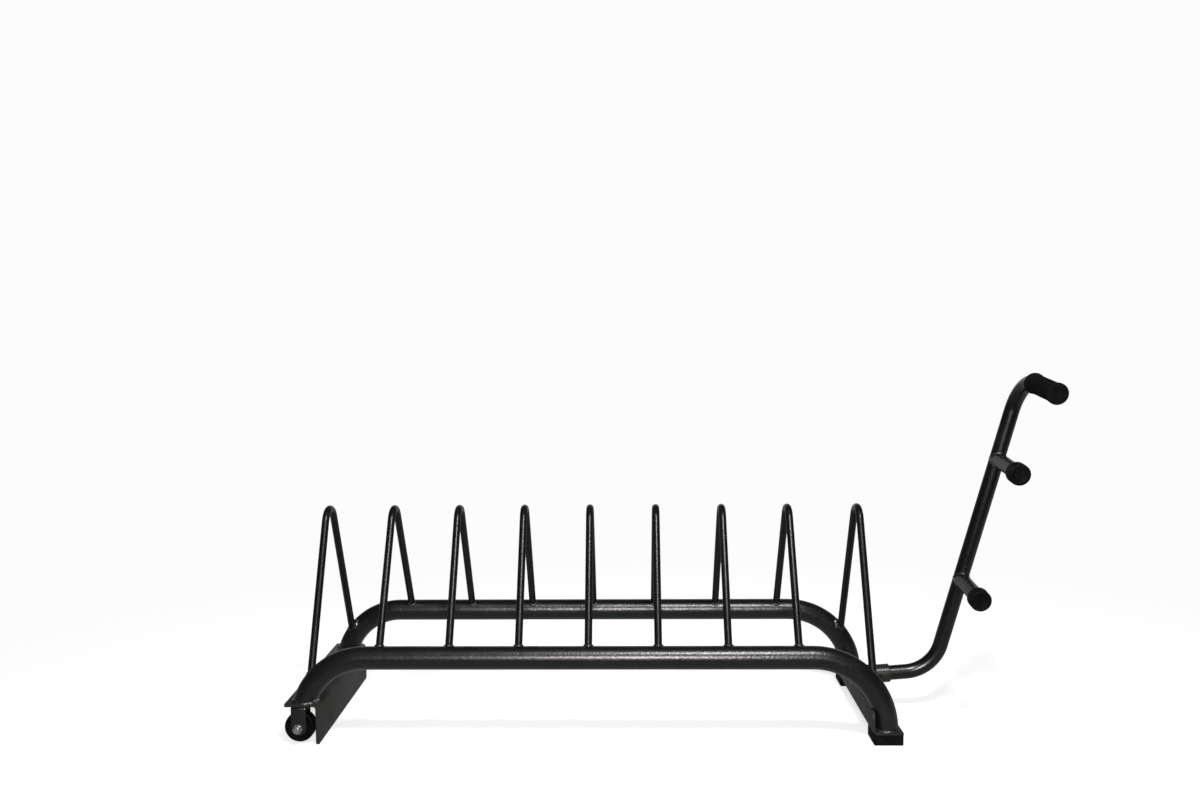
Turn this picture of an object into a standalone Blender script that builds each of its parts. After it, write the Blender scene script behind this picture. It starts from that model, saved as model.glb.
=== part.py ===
# Rolling rack for bumper plates. Two bent tube rails carry a row of rod dividers. One end stands
# on the edge of a folded sheet stand with two small wheels just above the floor, the other on two
# rubber feet. A pull handle with two pegs for small plates plugs into a socket at the foot end.
# X runs from the wheel end to the handle, Y from front to back and Z up. The origin is on the
# floor, under the middle of the stand's edge. All sizes are in metres.

import math

import bmesh
import bpy
from mathutils import Matrix, Vector

# Clearance left between pieces that touch
GAP = 0.0003

# Rails
RAIL_DIAMETER = 0.038
RAIL_WALL = 0.002
RAIL_SPACING = 0.308
RAIL_HEIGHT = 0.1399
WHEEL_END_BEND = 0.107
FOOT_END_BEND = 0.1205

# Dividers: the first and last stand on the bends, this far above the rails' cut ends. The last
# slot is a little wider than the others
DIVIDER_COUNT = 9
DIVIDER_PITCH = 0.1153
LAST_SLOT = 0.1215
DIVIDER_ROD = 0.0127
DIVIDER_HEIGHT = 0.3677
DIVIDER_TOP_BEND = 0.031
FIRST_DIVIDER_RISE = 0.0177
LAST_DIVIDER_RISE = 0.0651

# Folded sheet under each end
SHEET = 0.0045
FOLD_INSIDE = 0.004
END_LENGTH = 0.350
STAND_HEIGHT = 0.0683
STAND_FLANGE = 0.0565
STAND_CORNER = 0.006
FLANGE_CORNER = 0.004
RAIL_TO_STAND_FACE = 0.0265
RAIL_TO_ANGLE_FACE = 0.0268
FOOT_ANGLE_BASE = 0.0504
FOOT_ANGLE_HEIGHT = 0.039
FOOT_ANGLE_CORNER = 0.014

# Rubber feet
FOOT_HEIGHT = 0.0165
FOOT_WIDTH = 0.0475
FOOT_DEPTH = 0.053
FOOT_EDGE = 0.0015
FOOT_SCREW = 0.006
FOOT_SCREW_HEAD = 0.011
FOOT_SCREW_HEAD_HEIGHT = 0.003
FOOT_WASHER = 0.016
FOOT_WASHER_SHEET = 0.0014
FOOT_RECESS = 0.007

# Wheels and their forks
WHEEL_DIAMETER = 0.0495
WHEEL_TREAD = 0.021
WHEEL_SHOULDER = 0.003
WHEEL_DISH = 0.0012
WHEEL_HUB = 0.022
WHEEL_LIFT = 0.0033
FORK_SHEET = 0.003
FORK_WIDTH = 0.0246
FORK_INSIDE = 0.024
FORK_FOLD = 0.0015
FORK_INSET = 0.0015
WHEEL_TO_WEB = 0.0038
SLEEVE_DIAMETER = 0.0127
SLEEVE_PLAY = 0.0002
AXLE_DIAMETER = 0.0095
BOLT_FLATS = 0.0143
BOLT_HEAD = 0.006
NUT_HEIGHT = 0.0119
AXLE_TIP = 0.0006

# Socket for the handle: it rises a little towards its mouth
SOCKET_DIAMETER = 0.032
SOCKET_LENGTH = 0.068
SOCKET_OVERHANG = 0.003
SOCKET_HEIGHT = 0.060
SOCKET_RISE = math.radians(4.5)
SET_SCREW = 0.008
SET_SCREW_KEY = 0.004
SET_SCREW_KEY_DEPTH = 0.002
SET_SCREW_FROM_MOUTH = 0.018
GUSSET_SHEET = 0.006
GUSSET_TOP = 0.045
GUSSET_BOTTOM = 0.033

# Handle: it is turned a little about the socket, so its top leans to the front. The rake is from
# square to the socket
HANDLE_DIAMETER = 0.0254
HANDLE_WALL = 0.002
HANDLE_PLUG = 0.055
HANDLE_LEAD = 0.0294
HANDLE_LOWER_BEND = 0.0664
HANDLE_RAKE = math.radians(18.3)
HANDLE_UPRIGHT = 0.4292
HANDLE_UPPER_BEND = 0.059
HANDLE_TURN = math.radians(5.8)
GRIP_DIAMETER = 0.031
GRIP_FLANGE = 0.0352
GRIP_FLANGE_LENGTH = 0.0055
GRIP_LENGTH = 0.103
GRIP_END = 0.003
GRIP_SOFTENING = 0.001

# Pegs for small plates, measured up the handle's straight part
LOWER_PEG_RISE = 0.1247
UPPER_PEG_RISE = 0.3437
PEG_REACH = 0.1165
PEG_CAP_DIAMETER = 0.0358
PEG_CAP_LENGTH = 0.020
PEG_CAP_END = 0.004
PEG_CAP_ROUND = 0.0025

# Facets
RAIL_SIDES = 20
ROD_SIDES = 12
HANDLE_SIDES = 16
TURNED_SIDES = 24
HARDWARE_SIDES = 18
BEND_STEPS = 10
DIVIDER_BEND_STEPS = 8
CORNER_STEPS = 4

# Places that follow from the sizes
rail_radius = RAIL_DIAMETER / 2
rail_y = RAIL_SPACING / 2
foot_angle_top = FOOT_HEIGHT + GAP + SHEET
wheel_cut = STAND_HEIGHT + GAP
foot_cut = foot_angle_top + GAP
wheel_drop = RAIL_HEIGHT - wheel_cut
foot_drop = RAIL_HEIGHT - foot_cut
wheel_turn = math.acos(max(0.0, 1 - wheel_drop / WHEEL_END_BEND))
foot_turn = math.acos(max(0.0, 1 - foot_drop / FOOT_END_BEND))


def reach_round_bend(radius, drop):
    # How far along X a bend has gone when it has come down by drop
    return math.sqrt(radius**2 - (radius - min(drop, radius)) ** 2)


stand_face_x = SHEET / 2
wheel_foot_x = stand_face_x - RAIL_TO_STAND_FACE
wheel_bend_x = wheel_foot_x + reach_round_bend(WHEEL_END_BEND, wheel_drop)
first_divider_x = wheel_bend_x - reach_round_bend(WHEEL_END_BEND, wheel_drop - FIRST_DIVIDER_RISE)
last_divider_x = first_divider_x + (DIVIDER_COUNT - 2) * DIVIDER_PITCH + LAST_SLOT
foot_bend_x = last_divider_x - reach_round_bend(FOOT_END_BEND, foot_drop - LAST_DIVIDER_RISE)
foot_end_x = foot_bend_x + reach_round_bend(FOOT_END_BEND, foot_drop)
foot_angle_x = foot_end_x - RAIL_TO_ANGLE_FACE
socket_x = foot_angle_x - SOCKET_OVERHANG
socket_base = Vector((socket_x, 0.0, SOCKET_HEIGHT))
socket_axis = Vector((math.cos(SOCKET_RISE), 0.0, math.sin(SOCKET_RISE)))
foot_y = END_LENGTH / 2 - FOOT_DEPTH / 2
foot_x = foot_angle_x + FOOT_ANGLE_BASE - FOOT_WIDTH / 2
axle_z = WHEEL_DIAMETER / 2 + WHEEL_LIFT
axle_x = stand_face_x - SHEET - WHEEL_TO_WEB - WHEEL_DIAMETER / 2
fork_y = END_LENGTH / 2 - FORK_INSET - FORK_SHEET - FORK_INSIDE / 2


# Building blocks


def clear_scene():
    for item in list(bpy.data.objects):
        bpy.data.objects.remove(item, do_unlink=True)


def make_material(name, color, roughness, metallic):
    material = bpy.data.materials.new(name)
    material.use_nodes = True
    shader = material.node_tree.nodes["Principled BSDF"]
    shader.inputs["Base Color"].default_value = (*color, 1.0)
    shader.inputs["Roughness"].default_value = roughness
    shader.inputs["Metallic"].default_value = metallic
    return material


def add_empty(name, location, turn=0.0, rise=0.0):
    empty = bpy.data.objects.new(name, None)
    empty.location = location
    empty.rotation_euler = (turn, -rise, 0.0)
    bpy.context.collection.objects.link(empty)
    return empty


def finish(name, bm, material, parent=None, location=(0.0, 0.0, 0.0)):
    bmesh.ops.recalc_face_normals(bm, faces=bm.faces)
    mesh = bpy.data.meshes.new(name)
    bm.to_mesh(mesh)
    bm.free()
    mesh.materials.append(material)
    mesh.shade_smooth()
    mesh.set_sharp_from_angle(angle=math.radians(40))
    piece = bpy.data.objects.new(name, mesh)
    piece.location = location
    piece.parent = parent
    bpy.context.collection.objects.link(piece)
    return piece


def as_cutter(piece):
    piece.hide_render = True
    piece.display_type = "WIRE"
    return piece


def cut(piece, cutter):
    modifier = piece.modifiers.new(cutter.name, "BOOLEAN")
    modifier.operation = "DIFFERENCE"
    modifier.solver = "EXACT"
    modifier.object = cutter


def outline(corners, steps=CORNER_STEPS):
    # Corners are (u, v, radius): a radius of 0 stays sharp, any other becomes an arc
    points = []
    for i, (u, v, radius) in enumerate(corners):
        here = Vector((u, v))
        if not radius:
            points.append(here)
            continue
        before = (Vector(corners[i - 1][:2]) - here).normalized()
        after = (Vector(corners[(i + 1) % len(corners)][:2]) - here).normalized()
        half = before.angle(after) / 2
        centre = here + (before + after).normalized() * radius / math.sin(half)
        start = here + before * radius / math.tan(half)
        swing = (start - centre).angle_signed(here + after * radius / math.tan(half) - centre)
        for k in range(steps + 1):
            points.append(centre + Matrix.Rotation(-swing * k / steps, 2) @ (start - centre))
    return points


def extruded(points, axis, low, high):
    # The outline lies in the plane of the two other axes, in X, Y, Z order
    def place(point, along):
        spot = [point[0], point[1]]
        spot.insert("XYZ".index(axis), along)
        return Vector(spot)

    bm = bmesh.new()
    face = bm.faces.new([bm.verts.new(place(point, low)) for point in points])
    step = place((0.0, 0.0), high - low)
    moved = bmesh.ops.extrude_face_region(bm, geom=[face])["geom"]
    top = [item for item in moved if isinstance(item, bmesh.types.BMVert)]
    bmesh.ops.translate(bm, verts=top, vec=step)
    return bm


def round_corners(bm, is_corner, radius):
    edges = [edge for edge in bm.edges if is_corner(*(vert.co for vert in edge.verts))]
    bmesh.ops.bevel(
        bm, geom=edges, offset=radius, segments=CORNER_STEPS, profile=0.5, affect="EDGES"
    )


def swept(path, radius, sides, bore=0.0, levels=None):
    # A round bar or tube along a path. Levels trim its two ends to horizontal planes
    tangents = []
    for i in range(len(path)):
        tangents.append((path[min(i + 1, len(path) - 1)] - path[max(i - 1, 0)]).normalized())
    if levels:
        tangents[0] = trimmed_tangent(path[0], path[1], tangents[1])
        tangents[-1] = -trimmed_tangent(path[-1], path[-2], -tangents[-2])
    side = tangents[0].orthogonal().normalized()
    bm = bmesh.new()
    shells = []
    for size in (radius, bore):
        rings = []
        across = side.copy()
        for i, centre in enumerate(path):
            if i:
                across = tangents[i - 1].rotation_difference(tangents[i]) @ across
            ring = []
            for k in range(sides):
                spin = Matrix.Rotation(2 * math.pi * k / sides, 3, tangents[i])
                spot = centre + spin @ across * size
                if levels and i in (0, len(path) - 1):
                    rise = levels[0 if i == 0 else 1] - spot.z
                    spot += tangents[i] * rise / tangents[i].z
                ring.append(bm.verts.new(spot))
            rings.append(ring)
        shells.append(rings)
        if not bore:
            break
    for rings in shells:
        for lower, upper in zip(rings, rings[1:]):
            for k in range(sides):
                n = (k + 1) % sides
                bm.faces.new((lower[k], lower[n], upper[n], upper[k]))
    for end in (0, -1):
        if bore:
            outer, inner = shells[0][end], shells[1][end]
            for k in range(sides):
                n = (k + 1) % sides
                bm.faces.new((outer[k], outer[n], inner[n], inner[k]))
        else:
            bm.faces.new(shells[0][end])
    return bm


def trimmed_tangent(end, following, tangent):
    # The direction of an arc at its very end, from its chord and the next tangent
    chord = (following - end).normalized()
    return (2 * chord.dot(tangent) * chord - tangent).normalized()


def turned(stations, sides=TURNED_SIDES, closed=False):
    # Stations are (height along Z, radius, hexagonal): a radius of 0 is a point on the axis.
    # A closed profile runs up the outside and down the bore
    bm = bmesh.new()
    rings = []
    for height, radius, hexagonal in stations:
        if not radius:
            rings.append([bm.verts.new((0.0, 0.0, height))])
            continue
        ring = []
        for k in range(sides):
            angle = 2 * math.pi * k / sides
            corner = angle % (math.pi / 3) - math.pi / 6
            size = radius / math.cos(corner) if hexagonal else radius
            ring.append(bm.verts.new((size * math.cos(angle), size * math.sin(angle), height)))
        rings.append(ring)
    pairs = list(zip(rings, rings[1:]))
    if closed:
        pairs.append((rings[-1], rings[0]))
    for lower, upper in pairs:
        for k in range(sides):
            n = (k + 1) % sides
            corners = [lower[k % len(lower)], lower[n % len(lower)]]
            corners += [upper[n % len(upper)], upper[k % len(upper)]]
            bm.faces.new(list(dict.fromkeys(corners)))
    return bm


def facing(bm, origin, direction):
    # Turn a piece made along Z so that it points along a direction from an origin
    turn = Vector((0.0, 0.0, 1.0)).rotation_difference(Vector(direction))
    bmesh.ops.transform(
        bm, matrix=Matrix.Translation(origin) @ turn.to_matrix().to_4x4(), verts=bm.verts
    )
    return bm


# Rails


def rail_path(y):
    points = []
    centre_z = RAIL_HEIGHT - WHEEL_END_BEND
    if wheel_drop > WHEEL_END_BEND:
        points.append(Vector((wheel_foot_x, y, wheel_cut)))
    for k in range(BEND_STEPS + 1):
        angle = wheel_turn * (1 - k / BEND_STEPS)
        x = wheel_bend_x - WHEEL_END_BEND * math.sin(angle)
        points.append(Vector((x, y, centre_z + WHEEL_END_BEND * math.cos(angle))))
    centre_z = RAIL_HEIGHT - FOOT_END_BEND
    for k in range(BEND_STEPS + 1):
        angle = foot_turn * k / BEND_STEPS
        x = foot_bend_x + FOOT_END_BEND * math.sin(angle)
        points.append(Vector((x, y, centre_z + FOOT_END_BEND * math.cos(angle))))
    if foot_drop > FOOT_END_BEND:
        points.append(Vector((foot_end_x, y, foot_cut)))
    return points


def rail_axis_height(x):
    if x < wheel_bend_x:
        return RAIL_HEIGHT - WHEEL_END_BEND + math.sqrt(WHEEL_END_BEND**2 - (wheel_bend_x - x) ** 2)
    if x > foot_bend_x:
        return RAIL_HEIGHT - FOOT_END_BEND + math.sqrt(FOOT_END_BEND**2 - (x - foot_bend_x) ** 2)
    return RAIL_HEIGHT


def make_rail(name, y, paint):
    levels = (wheel_cut, foot_cut)
    bore = rail_radius - RAIL_WALL
    bm = swept(rail_path(y), rail_radius, RAIL_SIDES, bore, levels)
    finish(name, bm, paint)
    seat = swept(rail_path(y), rail_radius + GAP, RAIL_SIDES, 0.0, levels)
    return as_cutter(finish(f"{name}_seat", seat, paint))


# Dividers


def divider_path(x):
    # Both legs leave the top bend on a tangent and aim at the rails' axes
    foot = Vector((rail_y, rail_axis_height(x)))
    centre = Vector((0.0, DIVIDER_HEIGHT - DIVIDER_ROD / 2 - DIVIDER_TOP_BEND))
    away = foot - centre
    splay = math.atan2(away.x, -away.y) - math.asin(DIVIDER_TOP_BEND / away.length)
    points = [Vector((x, -foot.x, foot.y))]
    sweep = math.pi / 2 - splay
    for k in range(DIVIDER_BEND_STEPS + 1):
        angle = sweep * (2 * k / DIVIDER_BEND_STEPS - 1)
        y = DIVIDER_TOP_BEND * math.sin(angle)
        points.append(Vector((x, y, centre.y + DIVIDER_TOP_BEND * math.cos(angle))))
    points.append(Vector((x, foot.x, foot.y)))
    return points


def make_dividers(seats, paint):
    places = [first_divider_x + i * DIVIDER_PITCH for i in range(DIVIDER_COUNT - 1)]
    places.append(last_divider_x)
    for i, x in enumerate(places):
        rod = swept(divider_path(x), DIVIDER_ROD / 2, ROD_SIDES)
        divider = finish(f"divider_{i + 1}", rod, paint)
        for seat in seats:
            cut(divider, seat)


# Folded sheet ends


def make_stand(paint):
    # The top flange reaches out over the wheels, the web stands on the floor inside them
    left = stand_face_x - STAND_FLANGE
    inner = stand_face_x - SHEET
    profile = outline(
        [
            (left, STAND_HEIGHT, 0.0),
            (stand_face_x, STAND_HEIGHT, FOLD_INSIDE + SHEET),
            (stand_face_x, 0.0, 0.0),
            (inner, 0.0, 0.0),
            (inner, STAND_HEIGHT - SHEET, FOLD_INSIDE),
            (left, STAND_HEIGHT - SHEET, 0.0),
        ]
    )
    bm = extruded(profile, "Y", -END_LENGTH / 2, END_LENGTH / 2)

    def is_low_corner(a, b):
        return a.z < GAP and b.z < GAP and abs(a.y - b.y) < GAP

    def is_flange_corner(a, b):
        return max(a.x, b.x) < left + GAP and abs(a.y - b.y) < GAP

    round_corners(bm, is_low_corner, STAND_CORNER)
    round_corners(bm, is_flange_corner, FLANGE_CORNER)
    finish("wheel_end_stand", bm, paint)


def make_foot_angle(seats, paint):
    # The rails' bends lean on the upright web, so it is scooped out to fit them
    bottom = FOOT_HEIGHT + GAP
    top = bottom + FOOT_ANGLE_HEIGHT
    right = foot_angle_x + FOOT_ANGLE_BASE
    inner = foot_angle_x + SHEET
    profile = outline(
        [
            (foot_angle_x, top, 0.0),
            (foot_angle_x, bottom, FOLD_INSIDE + SHEET),
            (right, bottom, 0.0),
            (right, foot_angle_top, 0.0),
            (inner, foot_angle_top, FOLD_INSIDE),
            (inner, top, 0.0),
        ]
    )
    bm = extruded(profile, "Y", -END_LENGTH / 2, END_LENGTH / 2)

    def is_high_corner(a, b):
        return min(a.z, b.z) > top - GAP and abs(a.y - b.y) < GAP

    round_corners(bm, is_high_corner, FOOT_ANGLE_CORNER)
    angle = finish("foot_end_angle", bm, paint)
    notch = turned(bar(SOCKET_DIAMETER / 2 + GAP, -SHEET, SOCKET_LENGTH))
    facing(notch, socket_base, socket_axis)
    cut(angle, as_cutter(finish("socket_notch", notch, paint)))
    for seat in seats:
        cut(angle, seat)
    for side in (-1, 1):
        hole = turned(bar(FOOT_SCREW / 2 + GAP, FOOT_HEIGHT - SHEET, foot_angle_top + SHEET))
        place = (foot_x, side * foot_y, 0.0)
        cut(angle, as_cutter(finish(f"foot_screw_hole_{side}", hole, paint, location=place)))


def bar(radius, low, high):
    return [(low, 0.0, False), (low, radius, False), (high, radius, False), (high, 0.0, False)]


def pipe(radius, bore, low, high):
    return [(low, radius, False), (high, radius, False), (high, bore, False), (low, bore, False)]


# Rubber feet


def make_foot(name, side, rubber, zinc):
    place = (foot_x, side * foot_y, 0.0)
    half_width, half_depth = FOOT_WIDTH / 2, FOOT_DEPTH / 2
    corners = [(-half_width, -half_depth), (half_width, -half_depth)]
    corners += [(half_width, half_depth), (-half_width, half_depth)]
    profile = outline([(u, v, FOOT_EDGE) for u, v in corners], steps=2)
    foot = finish(name, extruded(profile, "Z", 0.0, FOOT_HEIGHT), rubber, location=place)
    bore = FOOT_SCREW / 2 + GAP
    recess = FOOT_WASHER / 2 + 2 * GAP
    stations = [(-SHEET, 0.0, False), (-SHEET, recess, False), (FOOT_RECESS, recess, False)]
    stations += [(FOOT_RECESS, bore, False), (FOOT_HEIGHT + SHEET, bore, False)]
    stations.append((FOOT_HEIGHT + SHEET, 0.0, False))
    well = finish(f"{name}_well", turned(stations), rubber, location=place)
    cut(foot, as_cutter(well))
    washer_top = FOOT_RECESS - GAP
    washer_low = washer_top - FOOT_WASHER_SHEET
    stations = pipe(FOOT_WASHER / 2, bore, washer_low, washer_top)
    ring = turned(stations, HARDWARE_SIDES, closed=True)
    finish(f"{name}_washer", ring, zinc, location=place)
    seat = washer_low - GAP
    dome = seat - FOOT_SCREW_HEAD_HEIGHT
    head = FOOT_SCREW_HEAD / 2
    tip = foot_angle_top + GAP
    stations = [(dome, 0.0, False), (dome, head * 0.75, False), (dome + head * 0.2, head, False)]
    stations += [(seat, head, False), (seat, FOOT_SCREW / 2, False)]
    stations += [(tip, FOOT_SCREW / 2, False), (tip, 0.0, False)]
    finish(f"{name}_screw", turned(stations, HARDWARE_SIDES), zinc, location=place)


# Wheels


def make_fork(name, side, paint):
    top = STAND_HEIGHT - SHEET - GAP
    low = axle_z - FORK_WIDTH / 2
    out, inside = FORK_INSIDE / 2 + FORK_SHEET, FORK_INSIDE / 2
    fold = FORK_FOLD + FORK_SHEET
    profile = outline(
        [
            (fork_y * side - out, low, 0.0),
            (fork_y * side - out, top, fold),
            (fork_y * side + out, top, fold),
            (fork_y * side + out, low, 0.0),
            (fork_y * side + inside, low, 0.0),
            (fork_y * side + inside, top - FORK_SHEET, FORK_FOLD),
            (fork_y * side - inside, top - FORK_SHEET, FORK_FOLD),
            (fork_y * side - inside, low, 0.0),
        ],
        steps=3,
    )
    bm = extruded(profile, "X", axle_x - FORK_WIDTH / 2, axle_x + FORK_WIDTH / 2)

    def is_ear_corner(a, b):
        return a.z < low + GAP and b.z < low + GAP and abs(a.x - b.x) < GAP

    round_corners(bm, is_ear_corner, FORK_WIDTH / 2 - GAP)
    fork = finish(name, bm, paint)
    hole = turned(bar(AXLE_DIAMETER / 2 + GAP, -2 * out, 2 * out))
    facing(hole, (axle_x, fork_y * side, axle_z), (0.0, side, 0.0))
    cut(fork, as_cutter(finish(f"{name}_axle_hole", hole, paint)))


def make_wheel(name, side, materials):
    # Each piece is made along its own axle, with its outer side towards +Z. The bolt's head is on
    # the inner side, the lock nut on the outer one
    paint, rubber, zinc = materials
    axle = add_empty(f"{name}_axle", (axle_x, fork_y * side, axle_z))
    outward = (0.0, side, 0.0)
    origin = (0.0, 0.0, 0.0)
    radius, half = WHEEL_DIAMETER / 2, WHEEL_TREAD / 2
    bore = SLEEVE_DIAMETER / 2 + SLEEVE_PLAY
    boss = bore + WHEEL_SHOULDER
    rim = radius - 2 * WHEEL_SHOULDER
    face = half - WHEEL_DISH
    upper = [(0.0, radius), (half - WHEEL_SHOULDER, radius)]
    upper += [(half - 0.3 * WHEEL_SHOULDER, radius - 0.3 * WHEEL_SHOULDER)]
    upper += [(half, radius - WHEEL_SHOULDER), (half, rim), (face, rim - WHEEL_DISH)]
    upper += [(face, boss + WHEEL_DISH), (WHEEL_HUB / 2, boss), (WHEEL_HUB / 2, bore)]
    lower = [(-height, size) for height, size in reversed(upper[1:])]
    stations = [(height, size, False) for height, size in lower + upper]
    finish(name, facing(turned(stations, closed=True), origin, outward), rubber, axle)
    reach = FORK_INSIDE / 2 - GAP
    sleeve_bore = AXLE_DIAMETER / 2 + GAP
    stations = pipe(SLEEVE_DIAMETER / 2, sleeve_bore, -reach, reach)
    sleeve = turned(stations, HARDWARE_SIDES, closed=True)
    finish(f"{name}_sleeve", facing(sleeve, origin, outward), zinc, axle)
    ear = FORK_INSIDE / 2 + FORK_SHEET + GAP
    shank, flats = AXLE_DIAMETER / 2, BOLT_FLATS / 2
    tip = ear + NUT_HEIGHT + AXLE_TIP
    stations = [(-tip, 0.0, False), (-tip, shank, False), (ear, shank, False), (ear, flats, True)]
    stations += [(ear + 0.85 * BOLT_HEAD, flats, True), (ear + BOLT_HEAD, 0.94 * flats, False)]
    stations.append((ear + BOLT_HEAD, 0.0, False))
    bolt = turned(stations, HARDWARE_SIDES)
    finish(f"{name}_bolt", facing(bolt, origin, (0.0, -side, 0.0)), zinc, axle)
    collar = 0.65 * NUT_HEIGHT
    stations = [(0.0, flats, True), (collar, flats, True), (collar, 0.92 * flats, False)]
    stations += [(NUT_HEIGHT, 0.86 * flats, False), (NUT_HEIGHT, shank + GAP, False)]
    stations.append((0.0, shank + GAP, False))
    nut = turned(stations, HARDWARE_SIDES, closed=True)
    seat = (0.0, side * ear, 0.0)
    finish(f"{name}_nut", facing(nut, seat, outward), zinc, axle)


# Handle socket


def make_socket(paint, oxide):
    bore = HANDLE_DIAMETER / 2 + GAP
    tube = turned(pipe(SOCKET_DIAMETER / 2, bore, 0.0, SOCKET_LENGTH), closed=True)
    facing(tube, (0.0, 0.0, 0.0), socket_axis)
    socket = finish("handle_socket", tube, paint, location=socket_base)
    front = (0.0, -1.0, 0.0)
    screw_place = socket_base + socket_axis * (SOCKET_LENGTH - SET_SCREW_FROM_MOUTH)
    hole = facing(turned(bar(SET_SCREW / 2 + GAP, 0.0, SOCKET_DIAMETER)), (0.0, 0.0, 0.0), front)
    hole_piece = finish("set_screw_hole", hole, paint, location=screw_place)
    cut(socket, as_cutter(hole_piece))
    low, high = HANDLE_DIAMETER / 2 + GAP, SOCKET_DIAMETER / 2
    floor = high - SET_SCREW_KEY_DEPTH
    stations = [(low, 0.0, False), (low, SET_SCREW / 2, False), (high, SET_SCREW / 2, False)]
    stations += [(high, SET_SCREW_KEY / 2, True), (floor, SET_SCREW_KEY / 2, True)]
    stations.append((floor, 0.0, False))
    screw = facing(turned(stations, HARDWARE_SIDES), (0.0, 0.0, 0.0), front)
    finish("socket_set_screw", screw, oxide, location=screw_place)


def make_gusset(paint):
    left = foot_angle_x + SHEET + GAP
    low = foot_angle_top + GAP
    below = (SOCKET_DIAMETER / 2 + GAP) / math.cos(SOCKET_RISE)
    high = SOCKET_HEIGHT + (left - socket_x) * math.tan(SOCKET_RISE) - below
    clear = FOLD_INSIDE + GAP
    profile = [(left, low + clear), (left + clear, low), (left + GUSSET_BOTTOM, low)]
    profile += [(left + GUSSET_TOP, high + GUSSET_TOP * math.tan(SOCKET_RISE)), (left, high)]
    bm = extruded(profile, "Y", -GUSSET_SHEET / 2, GUSSET_SHEET / 2)
    finish("socket_gusset", bm, paint)


# Handle


def handle_directions():
    up = Vector((math.sin(HANDLE_RAKE), 0.0, math.cos(HANDLE_RAKE)))
    return up, Vector((0.0, -1.0, 0.0))


def upright_start():
    # Where the straight part begins, measured from the socket's inner end
    turn = math.pi / 2 - HANDLE_RAKE
    x = SOCKET_LENGTH + HANDLE_LEAD + HANDLE_LOWER_BEND * math.sin(turn)
    return Vector((x, 0.0, HANDLE_LOWER_BEND * (1 - math.cos(turn))))


def grip_start():
    up, front = handle_directions()
    return upright_start() + up * (HANDLE_UPRIGHT + HANDLE_UPPER_BEND) + front * HANDLE_UPPER_BEND


def handle_path():
    up, front = handle_directions()
    points = [Vector((SOCKET_LENGTH - HANDLE_PLUG, 0.0, 0.0))]
    bend_x = SOCKET_LENGTH + HANDLE_LEAD
    for k in range(BEND_STEPS + 1):
        angle = (math.pi / 2 - HANDLE_RAKE) * k / BEND_STEPS
        x = bend_x + HANDLE_LOWER_BEND * math.sin(angle)
        points.append(Vector((x, 0.0, HANDLE_LOWER_BEND * (1 - math.cos(angle)))))
    base = upright_start() + up * HANDLE_UPRIGHT
    for k in range(BEND_STEPS + 1):
        angle = math.pi / 2 * k / BEND_STEPS
        turn = up * math.sin(angle) + front * (1 - math.cos(angle))
        points.append(base + HANDLE_UPPER_BEND * turn)
    points.append(grip_start() + front * (GRIP_LENGTH - GRIP_END - GAP))
    return points


def grip_stations():
    # A rubber sleeve from Z = 0 that closes over the tube's end, with a raised rim at each end
    bore = HANDLE_DIAMETER / 2 + GAP
    body, flange = GRIP_DIAMETER / 2, GRIP_FLANGE / 2
    rim, inner_end = GRIP_FLANGE_LENGTH, GRIP_LENGTH - GRIP_END
    soft = GRIP_SOFTENING
    stations = [(inner_end, 0.0, False), (inner_end, bore, False), (0.0, bore, False)]
    stations += [(0.0, flange - soft, False), (soft, flange, False), (rim - soft, flange, False)]
    stations += [(rim, body, False), (GRIP_LENGTH - rim, body, False)]
    stations += [(GRIP_LENGTH - rim + soft, flange, False), (GRIP_LENGTH - soft, flange, False)]
    stations += [(GRIP_LENGTH, flange - soft, False), (GRIP_LENGTH, 0.0, False)]
    return stations


def cap_stations():
    # A rubber cap from Z = 0 that closes over a peg's end
    bore = HANDLE_DIAMETER / 2 + GAP
    outer, inner_end = PEG_CAP_DIAMETER / 2, PEG_CAP_LENGTH - PEG_CAP_END
    soft = PEG_CAP_ROUND
    stations = [(inner_end, 0.0, False), (inner_end, bore, False), (0.0, bore, False)]
    stations += [(0.0, outer - 0.5 * soft, False), (0.5 * soft, outer, False)]
    stations += [(PEG_CAP_LENGTH - soft, outer, False)]
    stations += [(PEG_CAP_LENGTH - 0.3 * soft, outer - 0.3 * soft, False)]
    stations += [(PEG_CAP_LENGTH, outer - soft, False), (PEG_CAP_LENGTH, 0.0, False)]
    return stations


def make_handle(paint, rubber):
    # Everything here hangs on the socket's axis, so that one angle turns the whole handle
    axis = add_empty("handle_axis", socket_base, HANDLE_TURN, SOCKET_RISE)
    radius = HANDLE_DIAMETER / 2
    up, front = handle_directions()
    tube = swept(handle_path(), radius, HANDLE_SIDES, radius - HANDLE_WALL)
    finish("handle_tube", tube, paint, axis)
    grip = facing(turned(grip_stations()), grip_start(), front)
    finish("handle_grip", grip, rubber, axis)
    straight = [upright_start(), upright_start() + up * HANDLE_UPRIGHT]
    seat = swept(straight, radius + GAP, TURNED_SIDES)
    cutter = as_cutter(finish("peg_seat", seat, paint, axis))
    for name, rise in (("lower_peg", LOWER_PEG_RISE), ("upper_peg", UPPER_PEG_RISE)):
        root = upright_start() + up * rise
        tip = PEG_REACH - PEG_CAP_END - GAP
        bore = radius - HANDLE_WALL
        peg = turned(pipe(radius, bore, 0.0, tip), closed=True)
        cut(finish(name, facing(peg, root, front), paint, axis), cutter)
        cap = facing(turned(cap_stations()), root + front * (PEG_REACH - PEG_CAP_LENGTH), front)
        finish(f"{name}_cap", cap, rubber, axis)


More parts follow.
